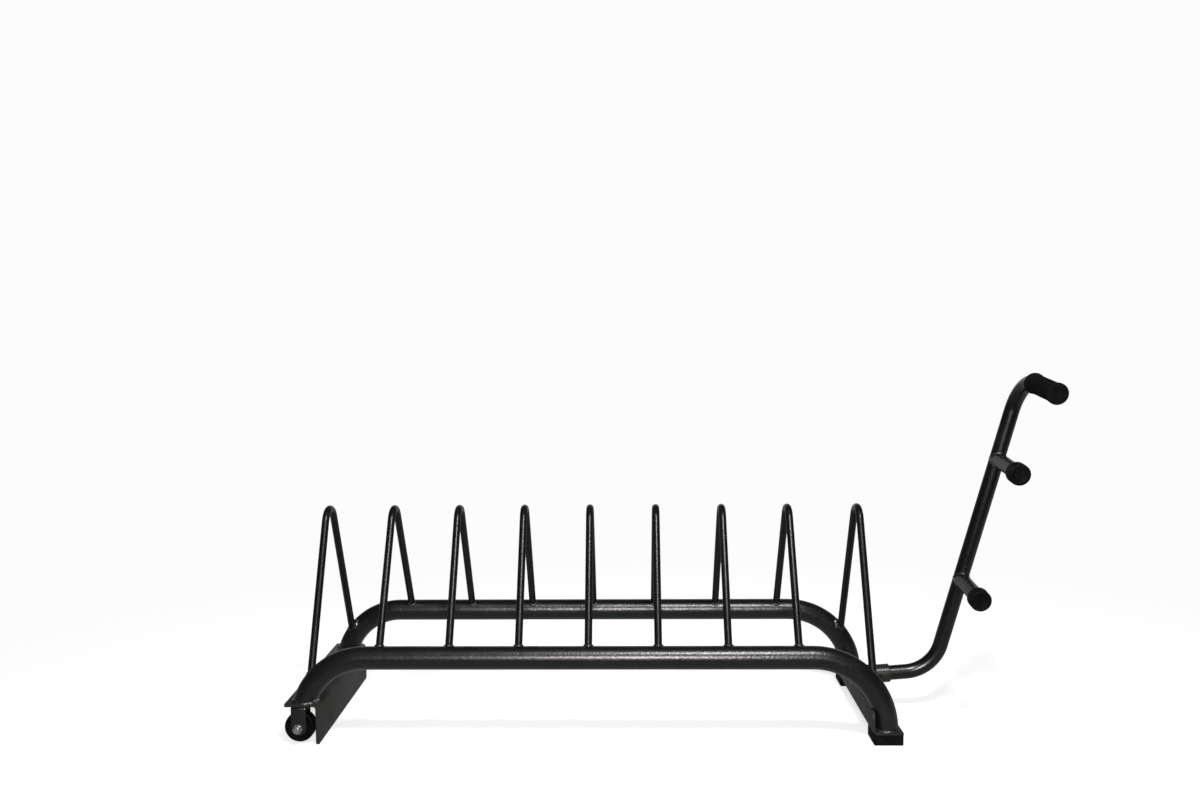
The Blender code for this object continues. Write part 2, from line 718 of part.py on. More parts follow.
def main():
    clear_scene()
    paint = make_material("charcoal_paint", (0.016, 0.016, 0.018), 0.42, 0.35)
    rubber = make_material("black_rubber", (0.010, 0.010, 0.010), 0.75, 0.0)
    zinc = make_material("zinc_plate", (0.55, 0.56, 0.58), 0.35, 1.0)
    oxide = make_material("black_oxide", (0.020, 0.020, 0.021), 0.50, 0.6)
    seats = [make_rail("front_rail", -rail_y, paint), make_rail("rear_rail", rail_y, paint)]
    make_dividers(seats, paint)
    make_stand(paint)
    make_foot_angle(seats, paint)
    for name, side in (("front", -1), ("rear", 1)):
        make_foot(f"{name}_foot", side, rubber, zinc)
        make_fork(f"{name}_fork", side, paint)
        make_wheel(f"{name}_wheel", side, (paint, rubber, zinc))
    make_socket(paint, oxide)
    make_gusset(paint)
    make_handle(paint, rubber)


main()
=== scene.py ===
import math

import bmesh
import bpy
from mathutils import Matrix, Vector


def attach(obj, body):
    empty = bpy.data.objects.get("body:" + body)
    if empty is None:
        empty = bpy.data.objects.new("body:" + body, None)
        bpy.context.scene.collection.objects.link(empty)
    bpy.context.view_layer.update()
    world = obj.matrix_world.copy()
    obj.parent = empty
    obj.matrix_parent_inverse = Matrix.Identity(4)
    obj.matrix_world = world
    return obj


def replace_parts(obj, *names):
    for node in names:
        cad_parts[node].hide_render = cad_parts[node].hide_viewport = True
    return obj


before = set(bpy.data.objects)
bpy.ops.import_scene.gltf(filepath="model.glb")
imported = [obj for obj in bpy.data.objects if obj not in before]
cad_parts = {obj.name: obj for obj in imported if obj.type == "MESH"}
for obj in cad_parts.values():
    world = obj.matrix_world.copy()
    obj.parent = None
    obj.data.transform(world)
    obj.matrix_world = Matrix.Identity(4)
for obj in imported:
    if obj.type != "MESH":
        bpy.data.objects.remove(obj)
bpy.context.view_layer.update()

gap = 0.0003  # left between pieces that touch, as in the solids
nick = 0.0004  # the broken edge of a small turned part
cutPast = 0.03  # how far a cutter reaches, well past what it cuts
upwards = Vector((0.0, 0.0, 1.0))
forwards = Vector((0.0, -1.0, 0.0))  # towards the front of the rack
ends = (("front", -1), ("rear", 1))  # both sides of the rack and their sign along Y
print("frame loaded")


# Mesh tools


def smoothed(piece, sharp):
    piece.data.shade_smooth()
    piece.data.set_sharp_from_angle(angle=math.radians(sharp))
    return piece


def toPiece(name, bm, material, sharp=35.0):
    bmesh.ops.recalc_face_normals(bm, faces=bm.faces)
    mesh = bpy.data.meshes.new(name)
    bm.to_mesh(mesh)
    bm.free()
    mesh.materials.append(material)
    piece = bpy.data.objects.new(name, mesh)
    bpy.context.scene.collection.objects.link(piece)
    return smoothed(piece, sharp)


def standFor(piece, node, body="frame"):
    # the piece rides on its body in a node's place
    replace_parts(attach(piece, body), node)


def keepResult(piece):
    # the evaluated shape becomes the piece's own plain mesh
    bpy.context.view_layer.update()
    graph = bpy.context.evaluated_depsgraph_get()
    mesh = bpy.data.meshes.new_from_object(piece.evaluated_get(graph), depsgraph=graph)
    piece.modifiers.clear()
    piece.data = mesh
    return piece


def softenEdges(piece, width, segments=3):
    bevel = piece.modifiers.new("softEdges", "BEVEL")
    bevel.width = width
    bevel.segments = segments
    bevel.limit_method = "ANGLE"
    bevel.angle_limit = math.radians(30)
    bevel.miter_outer = "MITER_ARC"
    return smoothed(keepResult(piece), 35.0)


def cutWith(piece, cutters, sharp=35.0):
    for cutter in cutters:
        boolean = piece.modifiers.new("cut", "BOOLEAN")
        boolean.operation = "DIFFERENCE"
        boolean.solver = "EXACT"
        boolean.object = cutter
    keepResult(piece)
    for cutter in cutters:
        bpy.data.objects.remove(cutter, do_unlink=True)
    return smoothed(piece, sharp)


def placed(bm, base, direction):
    # a shape made along Z is turned to a direction and moved to a base point
    turn = upwards.rotation_difference(Vector(direction)).to_matrix().to_4x4()
    bmesh.ops.transform(bm, matrix=Matrix.Translation(base) @ turn, verts=bm.verts)
    return bm


def joinRings(bm, low, high):
    # faces from ring to ring, where either may be a single point on the axis
    sides = max(len(low), len(high))
    for k in range(sides):
        n = (k + 1) % sides
        corners = [low[k % len(low)], low[n % len(low)], high[n % len(high)], high[k % len(high)]]
        bm.faces.new(list(dict.fromkeys(corners)))


def lathe(profile, sides=64, closed=False, hexagon=()):
    # profile is (height, radius): radius 0 is on the axis, and numbered rows can be hexagonal
    bm = bmesh.new()
    rings = []
    for row, (height, radius) in enumerate(profile):
        ring = []
        for k in range(sides if radius > 0 else 1):
            angle = 2 * math.pi * k / sides
            size = radius
            if row in hexagon:
                size = radius / math.cos(angle % (math.pi / 3) - math.pi / 6)
            ring.append(bm.verts.new((size * math.cos(angle), size * math.sin(angle), height)))
        rings.append(ring)
    for low, high in zip(rings, rings[1:] + rings[:1] if closed else rings[1:]):
        joinRings(bm, low, high)
    return bm


def drill(name, radius, base, direction, material, low=-cutPast, high=cutPast, sides=48):
    # a cutter for a round hole
    profile = [(low, 0.0), (low, radius), (high, radius), (high, 0.0)]
    return toPiece(name, placed(lathe(profile, sides), base, direction), material)


def arcRows(centreHeight, centreRadius, size, start, end, steps=6):
    # a rounded corner for a lathe profile, with angles in degrees from the radius direction
    rows = []
    for k in range(steps + 1):
        angle = math.radians(start + (end - start) * k / steps)
        rows.append((centreHeight + size * math.sin(angle), centreRadius + size * math.cos(angle)))
    return rows


def arcPoints(x, y, z, radius, start, end, steps):
    # a bend in the upright plane along the rack, with angles from straight up
    angles = [start + (end - start) * k / steps for k in range(steps + 1)]
    return [Vector((x + radius * math.sin(a), y, z + radius * math.cos(a))) for a in angles]


def foldedOutline(corners, steps=10):
    # corners are (u, v, radius), and a radius above 0 becomes an arc
    points = []
    for i, (u, v, radius) in enumerate(corners):
        here = Vector((u, v))
        if radius <= 0:
            points.append(here)
            continue
        before = (Vector(corners[i - 1][:2]) - here).normalized()
        after = (Vector(corners[(i + 1) % len(corners)][:2]) - here).normalized()
        half = before.angle(after) / 2
        centre = here + (before + after).normalized() * radius / math.sin(half)
        start = here + before * radius / math.tan(half) - centre
        swing = start.angle_signed(here + after * radius / math.tan(half) - centre)
        turns = [Matrix.Rotation(-swing * k / steps, 2) for k in range(steps + 1)]
        points += [centre + turn @ start for turn in turns]
    return points


def extrude(points, axis, low, high):
    # the outline lies in the plane of the other two axes, in X, Y, Z order
    bm = bmesh.new()
    index = "XYZ".index(axis)
    spots = [[*point[:index], low, *point[index:]] for point in points]
    face = bm.faces.new([bm.verts.new(spot) for spot in spots])
    moved = bmesh.ops.extrude_face_region(bm, geom=[face])["geom"]
    step = Vector((0.0, 0.0, 0.0))
    step[index] = high - low
    top = [item for item in moved if isinstance(item, bmesh.types.BMVert)]
    bmesh.ops.translate(bm, verts=top, vec=step)
    return bm


def roundCorners(bm, atCorner, across, radius, segments=10):
    # rounds the edges through a sheet's thickness, which stay level along the axis across
    edges = []
    for edge in bm.edges:
        a, b = (vertex.co for vertex in edge.verts)
        if atCorner(a) and atCorner(b) and abs(a[across] - b[across]) < gap:
            edges.append(edge)
    bmesh.ops.bevel(bm, geom=edges, offset=radius, segments=segments, profile=0.5, affect="EDGES")


def pathTangents(path):
    last = len(path) - 1
    pairs = [(path[max(i - 1, 0)], path[min(i + 1, last)]) for i in range(last + 1)]
    tangents = [(after - before).normalized() for before, after in pairs]
    for end, following in ((0, 1), (last, last - 1)):  # a true arc's direction at its ends
        chord = (path[1] - path[0] if end == 0 else path[last] - path[last - 1]).normalized()
        near = tangents[following]
        tangents[end] = (2 * chord.dot(near) * chord - near).normalized()
    return tangents


def sweepRings(path, radius, sides, startSlide=None, endSlide=None):
    tangents = pathTangents(path)
    across = tangents[0].orthogonal().normalized()
    rings = []
    for i, centre in enumerate(path):
        if i:
            across = tangents[i - 1].rotation_difference(tangents[i]) @ across
        turns = [Matrix.Rotation(2 * math.pi * k / sides, 3, tangents[i]) for k in range(sides)]
        rings.append([centre + turn @ across * radius for turn in turns])
    if startSlide:
        rings[0] = [startSlide(point, tangents[0]) for point in rings[0]]
    if endSlide:
        rings[-1] = [endSlide(point, tangents[-1]) for point in rings[-1]]
    return rings


def sweepTube(path, radius, sides, bore=0.0, startSlide=None, endSlide=None):
    bm = bmesh.new()
    shells = []
    for size in (radius, bore) if bore else (radius,):
        rings = sweepRings(path, size, sides, startSlide, endSlide)
        shells.append([[bm.verts.new(point) for point in ring] for ring in rings])
        for low, high in zip(shells[-1], shells[-1][1:]):
            joinRings(bm, low, high)
    for end in (0, -1):
        if bore:
            joinRings(bm, shells[0][end], shells[1][end])
        else:
            bm.faces.new(shells[0][end])
    return bm


def toLevel(height):
    return lambda point, direction: point + direction * (height - point.z) / direction.z


def toSurface(distance, away, reach=0.09, tries=40):
    # slides a point from inside a round surface until it is just outside it
    def slide(point, direction):
        inside, outside = 0.0, reach
        for _ in range(tries):
            middle = (inside + outside) / 2
            if distance(point + direction * away * middle) < gap:
                inside = middle
            else:
                outside = middle
        return point + direction * away * outside

    return slide


def straightSeam(first, last, steps=12):
    return [first.lerp(last, k / steps) for k in range(steps + 1)]


# Node tools


def feed(tree, node, values):
    for key, value in values.items():
        if isinstance(value, bpy.types.NodeSocket):
            tree.links.new(value, node.inputs[key])
        else:
            node.inputs[key].default_value = value


def addNode(tree, kind, values, **settings):
    node = tree.nodes.new(kind)
    for key, value in settings.items():
        setattr(node, key, value)
    feed(tree, node, values)
    return node


def outOf(tree, kind, values=None, output=0, **settings):
    return addNode(tree, kind, values or {}, **settings).outputs[output]


def mathOf(tree, operation, first, second=0.0):
    return outOf(tree, "ShaderNodeMath", {0: first, 1: second}, operation=operation)


def pointOf(tree, x, y, z):
    return outOf(tree, "ShaderNodeCombineXYZ", {"X": x, "Y": y, "Z": z})


def circleOf(tree, sides, radius):
    return outOf(tree, "GeometryNodeCurvePrimitiveCircle", {"Resolution": sides, "Radius": radius})


def sweepOf(tree, curve, ring, caps=True):
    values = {"Curve": curve, "Profile Curve": ring, "Fill Caps": caps}
    return outOf(tree, "GeometryNodeCurveToMesh", values)


def startTree(name, **inputs):
    # inputs are lists of names by kind, which are the settings they take their values from
    tree = bpy.data.node_groups.new(name, "GeometryNodeTree")
    for kind, labels in {"Geometry": ["source"], **inputs, "Material": ["finish"]}.items():
        for label in labels:
            tree.interface.new_socket(label, in_out="INPUT", socket_type="NodeSocket" + kind)
    tree.interface.new_socket("made", in_out="OUTPUT", socket_type="NodeSocketGeometry")
    return tree, tree.nodes.new("NodeGroupInput").outputs


def endTree(tree, made, finish):
    made = outOf(tree, "GeometryNodeSetShadeSmooth", {"Geometry": made})
    made = outOf(tree, "GeometryNodeRealizeInstances", {"Geometry": made})
    made = outOf(tree, "GeometryNodeSetMaterial", {"Geometry": made, "Material": finish})
    addNode(tree, "NodeGroupOutput", {0: made})
    return tree


def growPiece(name, tree, values, source=None):
    # runs a tree, on a mesh where it needs one, and keeps what it makes as a plain mesh
    piece = bpy.data.objects.new(name, source or bpy.data.meshes.new(name))
    bpy.context.scene.collection.objects.link(piece)
    modifier = piece.modifiers.new(tree.name, "NODES")
    modifier.node_group = tree
    for socket in tree.interface.items_tree:
        if socket.in_out == "INPUT" and socket.name in values:
            modifier[socket.identifier] = values[socket.name]
    return smoothed(keepResult(piece), 50.0)


# Finishes


def startMaterial(name):
    material = bpy.data.materials.new(name)
    material.use_nodes = True
    tree = material.node_tree
    coords = tree.nodes.new("ShaderNodeTexCoord").outputs["Object"]
    return material, tree, tree.nodes["Principled BSDF"], coords


def noiseOf(tree, coords, scale, detail=3.0, stretch=None):
    if stretch:
        coords = outOf(tree, "ShaderNodeMapping", {"Vector": coords, "Scale": stretch})
    values = {"Vector": coords, "Scale": scale, "Detail": detail}
    return outOf(tree, "ShaderNodeTexNoise", values, "Fac")


def rangeOf(tree, value, low, high, newLow=0.0, newHigh=1.0):
    values = {"Value": value, "From Min": low, "From Max": high}
    return outOf(tree, "ShaderNodeMapRange", values | {"To Min": newLow, "To Max": newHigh})


def patchesOf(tree, coords, scale, detail, low, high, most=1.0, stretch=None):
    # 0 where the noise is under low, and most where it is over high
    return rangeOf(tree, noiseOf(tree, coords, scale, detail, stretch), low, high, 0.0, most)


def mixOf(tree, factor, *tones):
    tones = [(*tone, 1.0) if isinstance(tone, tuple) else tone for tone in tones]
    values = {0: factor, 6: tones[0], 7: tones[1]}
    return outOf(tree, "ShaderNodeMix", values, 2, data_type="RGBA")


def roughnessOf(tree, coords, scale, detail, roughness):
    return rangeOf(tree, noiseOf(tree, coords, scale, detail), 0.3, 0.7, *roughness)


def bumpOf(tree, height, depth, **under):
    values = {"Height": height, "Distance": depth, "Strength": 1.0}
    return outOf(tree, "ShaderNodeBump", values | under)


def powderCoat(name, look):
    # sprayed powder: an even dark tone, fine orange peel, bright flakes, dusty and rubbed patches
    material, tree, shader, coords = startMaterial(name)
    cloud = patchesOf(tree, coords, look["cloudScale"], 4.0, *look["cloudRange"])
    tone = mixOf(tree, cloud, look["dark"], look["light"])
    cells = {"Vector": coords, "Scale": look["flakeScale"]}
    cells = outOf(tree, "ShaderNodeTexVoronoi", cells, "Color")
    spark = outOf(tree, "ShaderNodeSeparateColor", {0: cells})
    tone = mixOf(tree, rangeOf(tree, spark, look["flakeShare"], 1.0), tone, look["flake"])
    rub = (*look["rubRange"], look["rubAmount"], look["rubStretch"])
    rub = patchesOf(tree, coords, look["rubScale"], 5.0, *rub)
    sheen = roughnessOf(tree, coords, look["peelScale"] * 0.4, 2.0, look["roughness"])
    dulled = mathOf(tree, "MULTIPLY", rub, look["rubRoughness"])
    peel = bumpOf(tree, noiseOf(tree, coords, look["peelScale"], 2.0), look["peelDepth"])
    grain = noiseOf(tree, coords, look["flakeScale"], 2.0)
    values = {
        "Base Color": mixOf(tree, rub, tone, look["rubTone"]),
        "Roughness": mathOf(tree, "ADD", sheen, dulled),
        "Normal": bumpOf(tree, grain, look["grainDepth"], Normal=peel),
        "Specular IOR Level": look["specular"],
        "Metallic": look["metallic"],
    }
    feed(tree, shader, values)
    return material


charcoalLook = {
    "dark": (0.0011, 0.0012, 0.0015), "light": (0.0021, 0.0021, 0.0023), "cloudScale": 9.0,
    "cloudRange": (0.35, 0.65), "flakeScale": 3600.0, "flakeShare": 0.95,
    "flake": (0.026, 0.028, 0.032), "rubScale": 28.0, "rubRange": (0.56, 0.72),
    "rubStretch": (0.35, 1.0, 1.0), "rubAmount": 0.22, "rubTone": (0.007, 0.0066, 0.0060),
    "rubRoughness": 0.18, "roughness": (0.29, 0.34), "peelScale": 700.0, "peelDepth": 0.00012,
    "grainDepth": 0.00002, "specular": 0.4, "metallic": 0.0,
}
paintLooks = {  # where each paint differs from the one above
    "charcoalPowderCoat": {"peelScale": 230.0, "peelDepth": 0.0003},
    "rodPowderCoat": {"specular": 0.22, "rubStretch": (1.0, 1.0, 0.3)},
    "sheetPowderCoat": {
        "dark": (0.0076, 0.0071, 0.0058), "light": (0.0114, 0.0107, 0.0089), "cloudScale": 14.0,
        "rubScale": 22.0, "rubStretch": (1.0, 0.45, 1.6), "rubTone": (0.021, 0.020, 0.017),
        "roughness": (0.40, 0.50), "specular": 0.13,
    },
    "handleGlossPaint": {
        "dark": (0.0008, 0.0009, 0.0013), "light": (0.0014, 0.0015, 0.0020), "flakeShare": 0.97,
        "flake": (0.006, 0.0063, 0.0075), "rubAmount": 0.2, "rubStretch": (1.0, 1.0, 0.4),
        "roughness": (0.26, 0.32), "peelScale": 420.0, "peelDepth": 0.000025,
        "grainDepth": 0.000004,
    },
    "socketMetallicPaint": {
        "dark": (0.0095, 0.0088, 0.0076), "light": (0.016, 0.0148, 0.0130), "flakeShare": 0.8,
        "flake": (0.040, 0.037, 0.032), "peelDepth": 0.00004, "roughness": (0.24, 0.32),
        "metallic": 0.4,
    },
}
charcoalPaint, rodPaint, sheetPaint, handlePaint, socketPaint = (
    powderCoat(name, charcoalLook | look) for name, look in paintLooks.items()
)


def weldFinish(name, look):
    # the bead keeps the paint's tone and shows bare bright metal in patches
    material, tree, shader, coords = startMaterial(name)
    full = look["bareShare"] + look["bareEdge"]
    bare = patchesOf(tree, coords, look["bareScale"], 4.0, look["bareShare"], full)
    grain = noiseOf(tree, coords, look["grainScale"], 4.0)
    values = {
        "Base Color": mixOf(tree, bare, look["paint"], look["metal"]),
        "Metallic": mathOf(tree, "MULTIPLY", bare, look["metallic"]),
        "Roughness": rangeOf(tree, bare, 0.0, 1.0, *look["roughness"]),
        "Normal": bumpOf(tree, grain, look["grainDepth"]),
    }
    feed(tree, shader, values)
    return material


weldLook = {
    "paint": (0.0034, 0.0034, 0.0038), "metal": (0.26, 0.27, 0.29), "bareScale": 260.0,
    "bareShare": 0.63, "bareEdge": 0.08, "metallic": 0.85, "roughness": (0.42, 0.34),
    "grainScale": 900.0, "grainDepth": 0.0002,
}
chippedLook = weldLook | {"metal": (0.5, 0.51, 0.54), "bareShare": 0.58}
weldPaint = weldFinish("weldBeadPaint", weldLook)
chippedWeld = weldFinish("chippedWeldPaint", chippedLook)


def rubberFinish(name, look):
    # moulded rubber: matt, faintly speckled, with dust that settles in patches
    material, tree, shader, coords = startMaterial(name)
    cloud = patchesOf(tree, coords, look["cloudScale"], 5.0, *look["cloudRange"])
    tone = mixOf(tree, cloud, look["dark"], look["light"])
    dust = (*look["dustRange"], look["dustAmount"])
    dust = patchesOf(tree, coords, look["dustScale"], 6.0, *dust)
    grain = noiseOf(tree, coords, look["grainScale"], 3.0)
    values = {
        "Base Color": mixOf(tree, dust, tone, look["dust"]),
        "Roughness": roughnessOf(tree, coords, look["grainScale"] * 0.3, 3.0, look["roughness"]),
        "Normal": bumpOf(tree, grain, look["grainDepth"]),
        "Specular IOR Level": look["specular"],
    }
    feed(tree, shader, values)
    return material


footLook = {
    "dark": (0.0013, 0.0013, 0.0013), "light": (0.0024, 0.0023, 0.0022), "cloudScale": 60.0,
    "cloudRange": (0.35, 0.68), "dust": (0.060, 0.058, 0.052), "dustScale": 120.0,
    "dustRange": (0.58, 0.75), "dustAmount": 0.08, "roughness": (0.62, 0.78), "grainScale": 1600.0,
    "grainDepth": 0.00012, "specular": 0.04,
}
rubberLooks = {  # where each rubber differs from the feet
    "footRubber": {},
    "gripRubber": {"grainScale": 2200.0, "grainDepth": 0.00005, "dustAmount": 0.04},
    "capRubber": {"roughness": (0.5, 0.62), "dustAmount": 0.1},
    "wheelRubber": {
        "dark": (0.0008, 0.0008, 0.0008), "light": (0.0016, 0.0016, 0.0015),
        "dust": (0.014, 0.013, 0.012), "roughness": (0.42, 0.6), "dustAmount": 0.2,
    },
}
footRubber, gripRubber, capRubber, wheelRubber = (
    rubberFinish(name, footLook | look) for name, look in rubberLooks.items()
)


def plateFinish(name, look):
    # turned or rolled metal: fine lines, stains and a satin shine
    material, tree, shader, coords = startMaterial(name)
    stain = patchesOf(tree, coords, look["stainScale"], 5.0, *look["stainRange"])
    lines = noiseOf(tree, coords, look["lineScale"], 3.0, look["lineStretch"])
    values = {
        "Base Color": mixOf(tree, stain, look["clean"], look["stained"]),
        "Metallic": 1.0,
        "Roughness": rangeOf(tree, stain, 0.0, 1.0, *look["roughness"]),
        "Normal": bumpOf(tree, lines, look["lineDepth"]),
    }
    feed(tree, shader, values)
    return material


zincLook = {
    "clean": (0.30, 0.308, 0.316), "stained": (0.19, 0.187, 0.178), "stainScale": 210.0,
    "stainRange": (0.4, 0.7), "lineScale": 900.0, "lineStretch": (1.0, 0.2, 1.0),
    "lineDepth": 0.00003, "roughness": (0.46, 0.58),
}
oxideLook = zincLook | {"clean": (0.030, 0.030, 0.031), "stained": (0.016, 0.015, 0.015)}
zincPlate = plateFinish("zincPlate", zincLook)
darkScrew = plateFinish("blackOxideScrew", oxideLook)
print("finishes made")


# Rails

railSizes = {
    "radius": 0.019, "wall": 0.002, "halfSpacing": 0.154, "height": 0.1399, "wheelBend": 0.107,
    "footBend": 0.1205, "wheelFootX": -0.02425, "wheelCut": 0.0686, "footCut": 0.0216,
    "firstDividerRise": 0.0177, "lastDividerRise": 0.0651,
    "dividerRow": 0.9286,  # from the first divider to the last
    "sides": 72, "bendSteps": 36,
}


def bendReach(radius, drop):
    return math.sqrt(radius**2 - (radius - drop) ** 2)


wheelBend, footBend = railSizes["wheelBend"], railSizes["footBend"]
wheelDrop = railSizes["height"] - railSizes["wheelCut"]
footDrop = railSizes["height"] - railSizes["footCut"]
wheelBendX = railSizes["wheelFootX"] + bendReach(wheelBend, wheelDrop)
firstDividerX = wheelBendX - bendReach(wheelBend, wheelDrop - railSizes["firstDividerRise"])
lastDividerX = firstDividerX + railSizes["dividerRow"]
footBendX = lastDividerX - bendReach(footBend, footDrop - railSizes["lastDividerRise"])
footEndX = footBendX + bendReach(footBend, footDrop)


def railPath(y):
    height, steps = railSizes["height"], railSizes["bendSteps"]
    wheelTurn = math.acos(1 - wheelDrop / wheelBend)
    footTurn = math.acos(1 - footDrop / footBend)
    path = arcPoints(wheelBendX, y, height - wheelBend, wheelBend, -wheelTurn, 0.0, steps)
    return path + arcPoints(footBendX, y, height - footBend, footBend, 0.0, footTurn, steps)


def bendAt(x):
    # the radius of the bend and how far x is into it, which are both 0 on the straight run
    if x < wheelBendX:
        return wheelBend, wheelBendX - x
    return (footBend, x - footBendX) if x > footBendX else (0.0, 0.0)


def railDistance(side):
    # how far a point is outside the rail's surface
    def distance(point):
        bend, along = bendAt(point.x)
        away = math.hypot(along, point.z - railSizes["height"] + bend) - bend
        return math.hypot(point.y - side * railSizes["halfSpacing"], away) - railSizes["radius"]

    return distance


def railAxisHeight(x):
    bend, along = bendAt(x)
    return railSizes["height"] - bend + math.sqrt(bend**2 - along**2)


def railShape(side, radius, bore):
    path = railPath(side * railSizes["halfSpacing"])
    trims = (toLevel(railSizes["wheelCut"]), toLevel(railSizes["footCut"]))
    return sweepTube(path, radius, railSizes["sides"], bore, *trims)


for end, side in ends:
    bore = railSizes["radius"] - railSizes["wall"]
    rail = toPiece(end + "Rail", railShape(side, railSizes["radius"], bore), charcoalPaint)
    standFor(rail, end + "_rail")
print("rails made")


# Dividers

dividerSizes = {
    "count": 9, "pitch": 0.1153, "topHeight": 0.3677, "bendRadius": 0.031, "rodRadius": 0.00635,
    "sides": 32, "bendSteps": 24,
    "footReach": 1.3,  # how far from a foot the rod's end can lie, in rod radii
    "wedgeFrom": 0.35,  # how far uphill of the rod's axis a wedge of weld starts, in rod radii
    "wedgeShift": 0.7,  # how far it is moved uphill, in rod radii
}


def dividerTree():
    # a rod from foot to foot over a rounded top whose legs lean to meet both rails
    floats = ["station", "halfSpread", "footHeight", "topHeight", "bendRadius", "rodRadius"]
    tree, given = startTree("dividerRod", Float=floats, Int=["sides", "bendSteps"])
    station, spread, foot = given["station"], given["halfSpread"], given["footHeight"]
    bend, radius = given["bendRadius"], given["rodRadius"]
    centre = mathOf(tree, "SUBTRACT", given["topHeight"], radius)
    centre = mathOf(tree, "SUBTRACT", centre, bend)
    drop = mathOf(tree, "SUBTRACT", centre, foot)
    reach = mathOf(tree, "POWER", spread, 2.0)
    reach = mathOf(tree, "SQRT", mathOf(tree, "ADD", reach, mathOf(tree, "POWER", drop, 2.0)))
    lean = mathOf(tree, "ARCSINE", mathOf(tree, "DIVIDE", bend, reach))
    splay = mathOf(tree, "SUBTRACT", mathOf(tree, "ARCTAN2", spread, drop), lean)
    above = mathOf(tree, "DIVIDE", bend, mathOf(tree, "SINE", splay))
    corner = pointOf(tree, station, 0.0, mathOf(tree, "ADD", centre, above))
    sides = [mathOf(tree, "MULTIPLY", spread, sign) for sign in (-1.0, 1.0)]
    feet = [pointOf(tree, station, side, foot) for side in sides]
    line = outOf(tree, "GeometryNodeCurvePrimitiveLine", {"Start": feet[0], "End": feet[1]})
    three = outOf(tree, "GeometryNodeResampleCurve", {"Curve": line, "Count": 3})
    middle = {2: outOf(tree, "GeometryNodeInputIndex"), 3: 1}
    middle = outOf(tree, "FunctionNodeCompare", middle, data_type="INT", operation="EQUAL")
    bent = {"Geometry": three, "Selection": middle, "Position": corner}
    bent = outOf(tree, "GeometryNodeSetPosition", bent)
    fillet = {"Curve": bent, "Radius": bend, "Count": given["bendSteps"]}
    fillet = outOf(tree, "GeometryNodeFilletCurve", fillet, mode="POLY")
    rod = sweepOf(tree, fillet, circleOf(tree, given["sides"], radius))
    return endTree(tree, rod, given["finish"])


def footFrame(x, side):
    # a foot's centre and the direction down its leg
    spread, low, bend = railSizes["halfSpacing"], railAxisHeight(x), dividerSizes["bendRadius"]
    away = Vector((spread, low - (dividerSizes["topHeight"] - dividerSizes["rodRadius"] - bend)))
    splay = math.atan2(away.x, -away.y) - math.asin(bend / away.length)
    return Vector((x, side * spread, low)), Vector((0.0, side * math.sin(splay), -math.cos(splay)))


weldSeams = {"dividerFeet": [], "wedges": [], "railEnds": [], "forks": [], "socket": [], "pegs": []}


def addWedge(points):
    # a thick run of weld, in order across the rail
    weldSeams["wedges"].append(sorted(points, key=lambda point: point.y))


def makeDivider(number, tree):
    radius, uphill = dividerSizes["rodRadius"], {0: 1, dividerSizes["count"] - 1: -1}.get(number)
    x = firstDividerX + number * dividerSizes["pitch"] if uphill != -1 else lastDividerX
    values = dividerSizes | {"station": x, "halfSpread": railSizes["halfSpacing"]}
    values |= {"footHeight": railAxisHeight(x), "finish": rodPaint}
    divider = growPiece(f"divider{number + 1}", tree, values)
    for _, side in ends:
        foot, down = footFrame(x, side)
        slide = toSurface(railDistance(side), -1)
        for vertex in divider.data.vertices:
            if (vertex.co - foot).length < dividerSizes["footReach"] * radius:
                vertex.co = slide(vertex.co, down)
        ring = sweepRings([foot - down * radius, foot], radius, 48)[-1]
        seam = [slide(point, down) for point in ring]
        weldSeams["dividerFeet"].append(seam)
        if uphill:  # a wedge where the bend makes a sharp corner
            step = uphill * radius
            ahead = [point for point in seam if (point.x - x) / step > dividerSizes["wedgeFrom"]]
            shift = Vector((dividerSizes["wedgeShift"] * step, 0.0, 0.0))
            addWedge(slide(point + shift, down) for point in ahead)
    standFor(divider, f"divider_{number + 1}")


dividerRod = dividerTree()
for number in range(dividerSizes["count"]):
    makeDivider(number, dividerRod)
print("dividers made")


# Folded sheets

standSizes = {
    "sheet": 0.0045, "innerFold": 0.004, "halfLength": 0.175, "height": 0.0683, "flange": 0.0565,
    "lowCorner": 0.006, "flangeCorner": 0.004, "edge": 0.0006,
}
angleSizes = {
    "sheet": 0.0045, "innerFold": 0.004, "halfLength": 0.175, "fromRail": 0.0268, "bottom": 0.0168,
    "base": 0.0504, "height": 0.039, "highCorner": 0.014, "edge": 0.0006,
    "notch": (-0.01, 0.04),  # where its cutter starts and ends, along the socket
}
socketSizes = {
    "radius": 0.016, "bore": 0.013, "overhang": 0.003, "length": 0.068, "height": 0.060,
    "rise": 4.5, "chamfer": 0.0006, "screwRadius": 0.004, "screwFromMouth": 0.018,
    "screwEdge": 0.0005, "keyRadius": 0.002, "keyDepth": 0.002, "keyEdge": 0.0002,
}
angleX = footEndX - angleSizes["fromRail"]
angleFloor = angleSizes["bottom"] + angleSizes["sheet"]  # the top of the angle's base
socketX = angleX - socketSizes["overhang"]
socketRise = math.radians(socketSizes["rise"])
socketBase = Vector((socketX, 0.0, socketSizes["height"]))
socketAxis = Vector((math.cos(socketRise), 0.0, math.sin(socketRise)))
webX = standSizes["sheet"] / 2


def foldedSheet(name, s, corners, *trims):
    bm = extrude(foldedOutline(corners), "Y", -s["halfLength"], s["halfLength"])
    for atCorner, radius in trims:
        roundCorners(bm, atCorner, 1, radius)
    return softenEdges(toPiece(name, bm, sheetPaint), s["edge"])


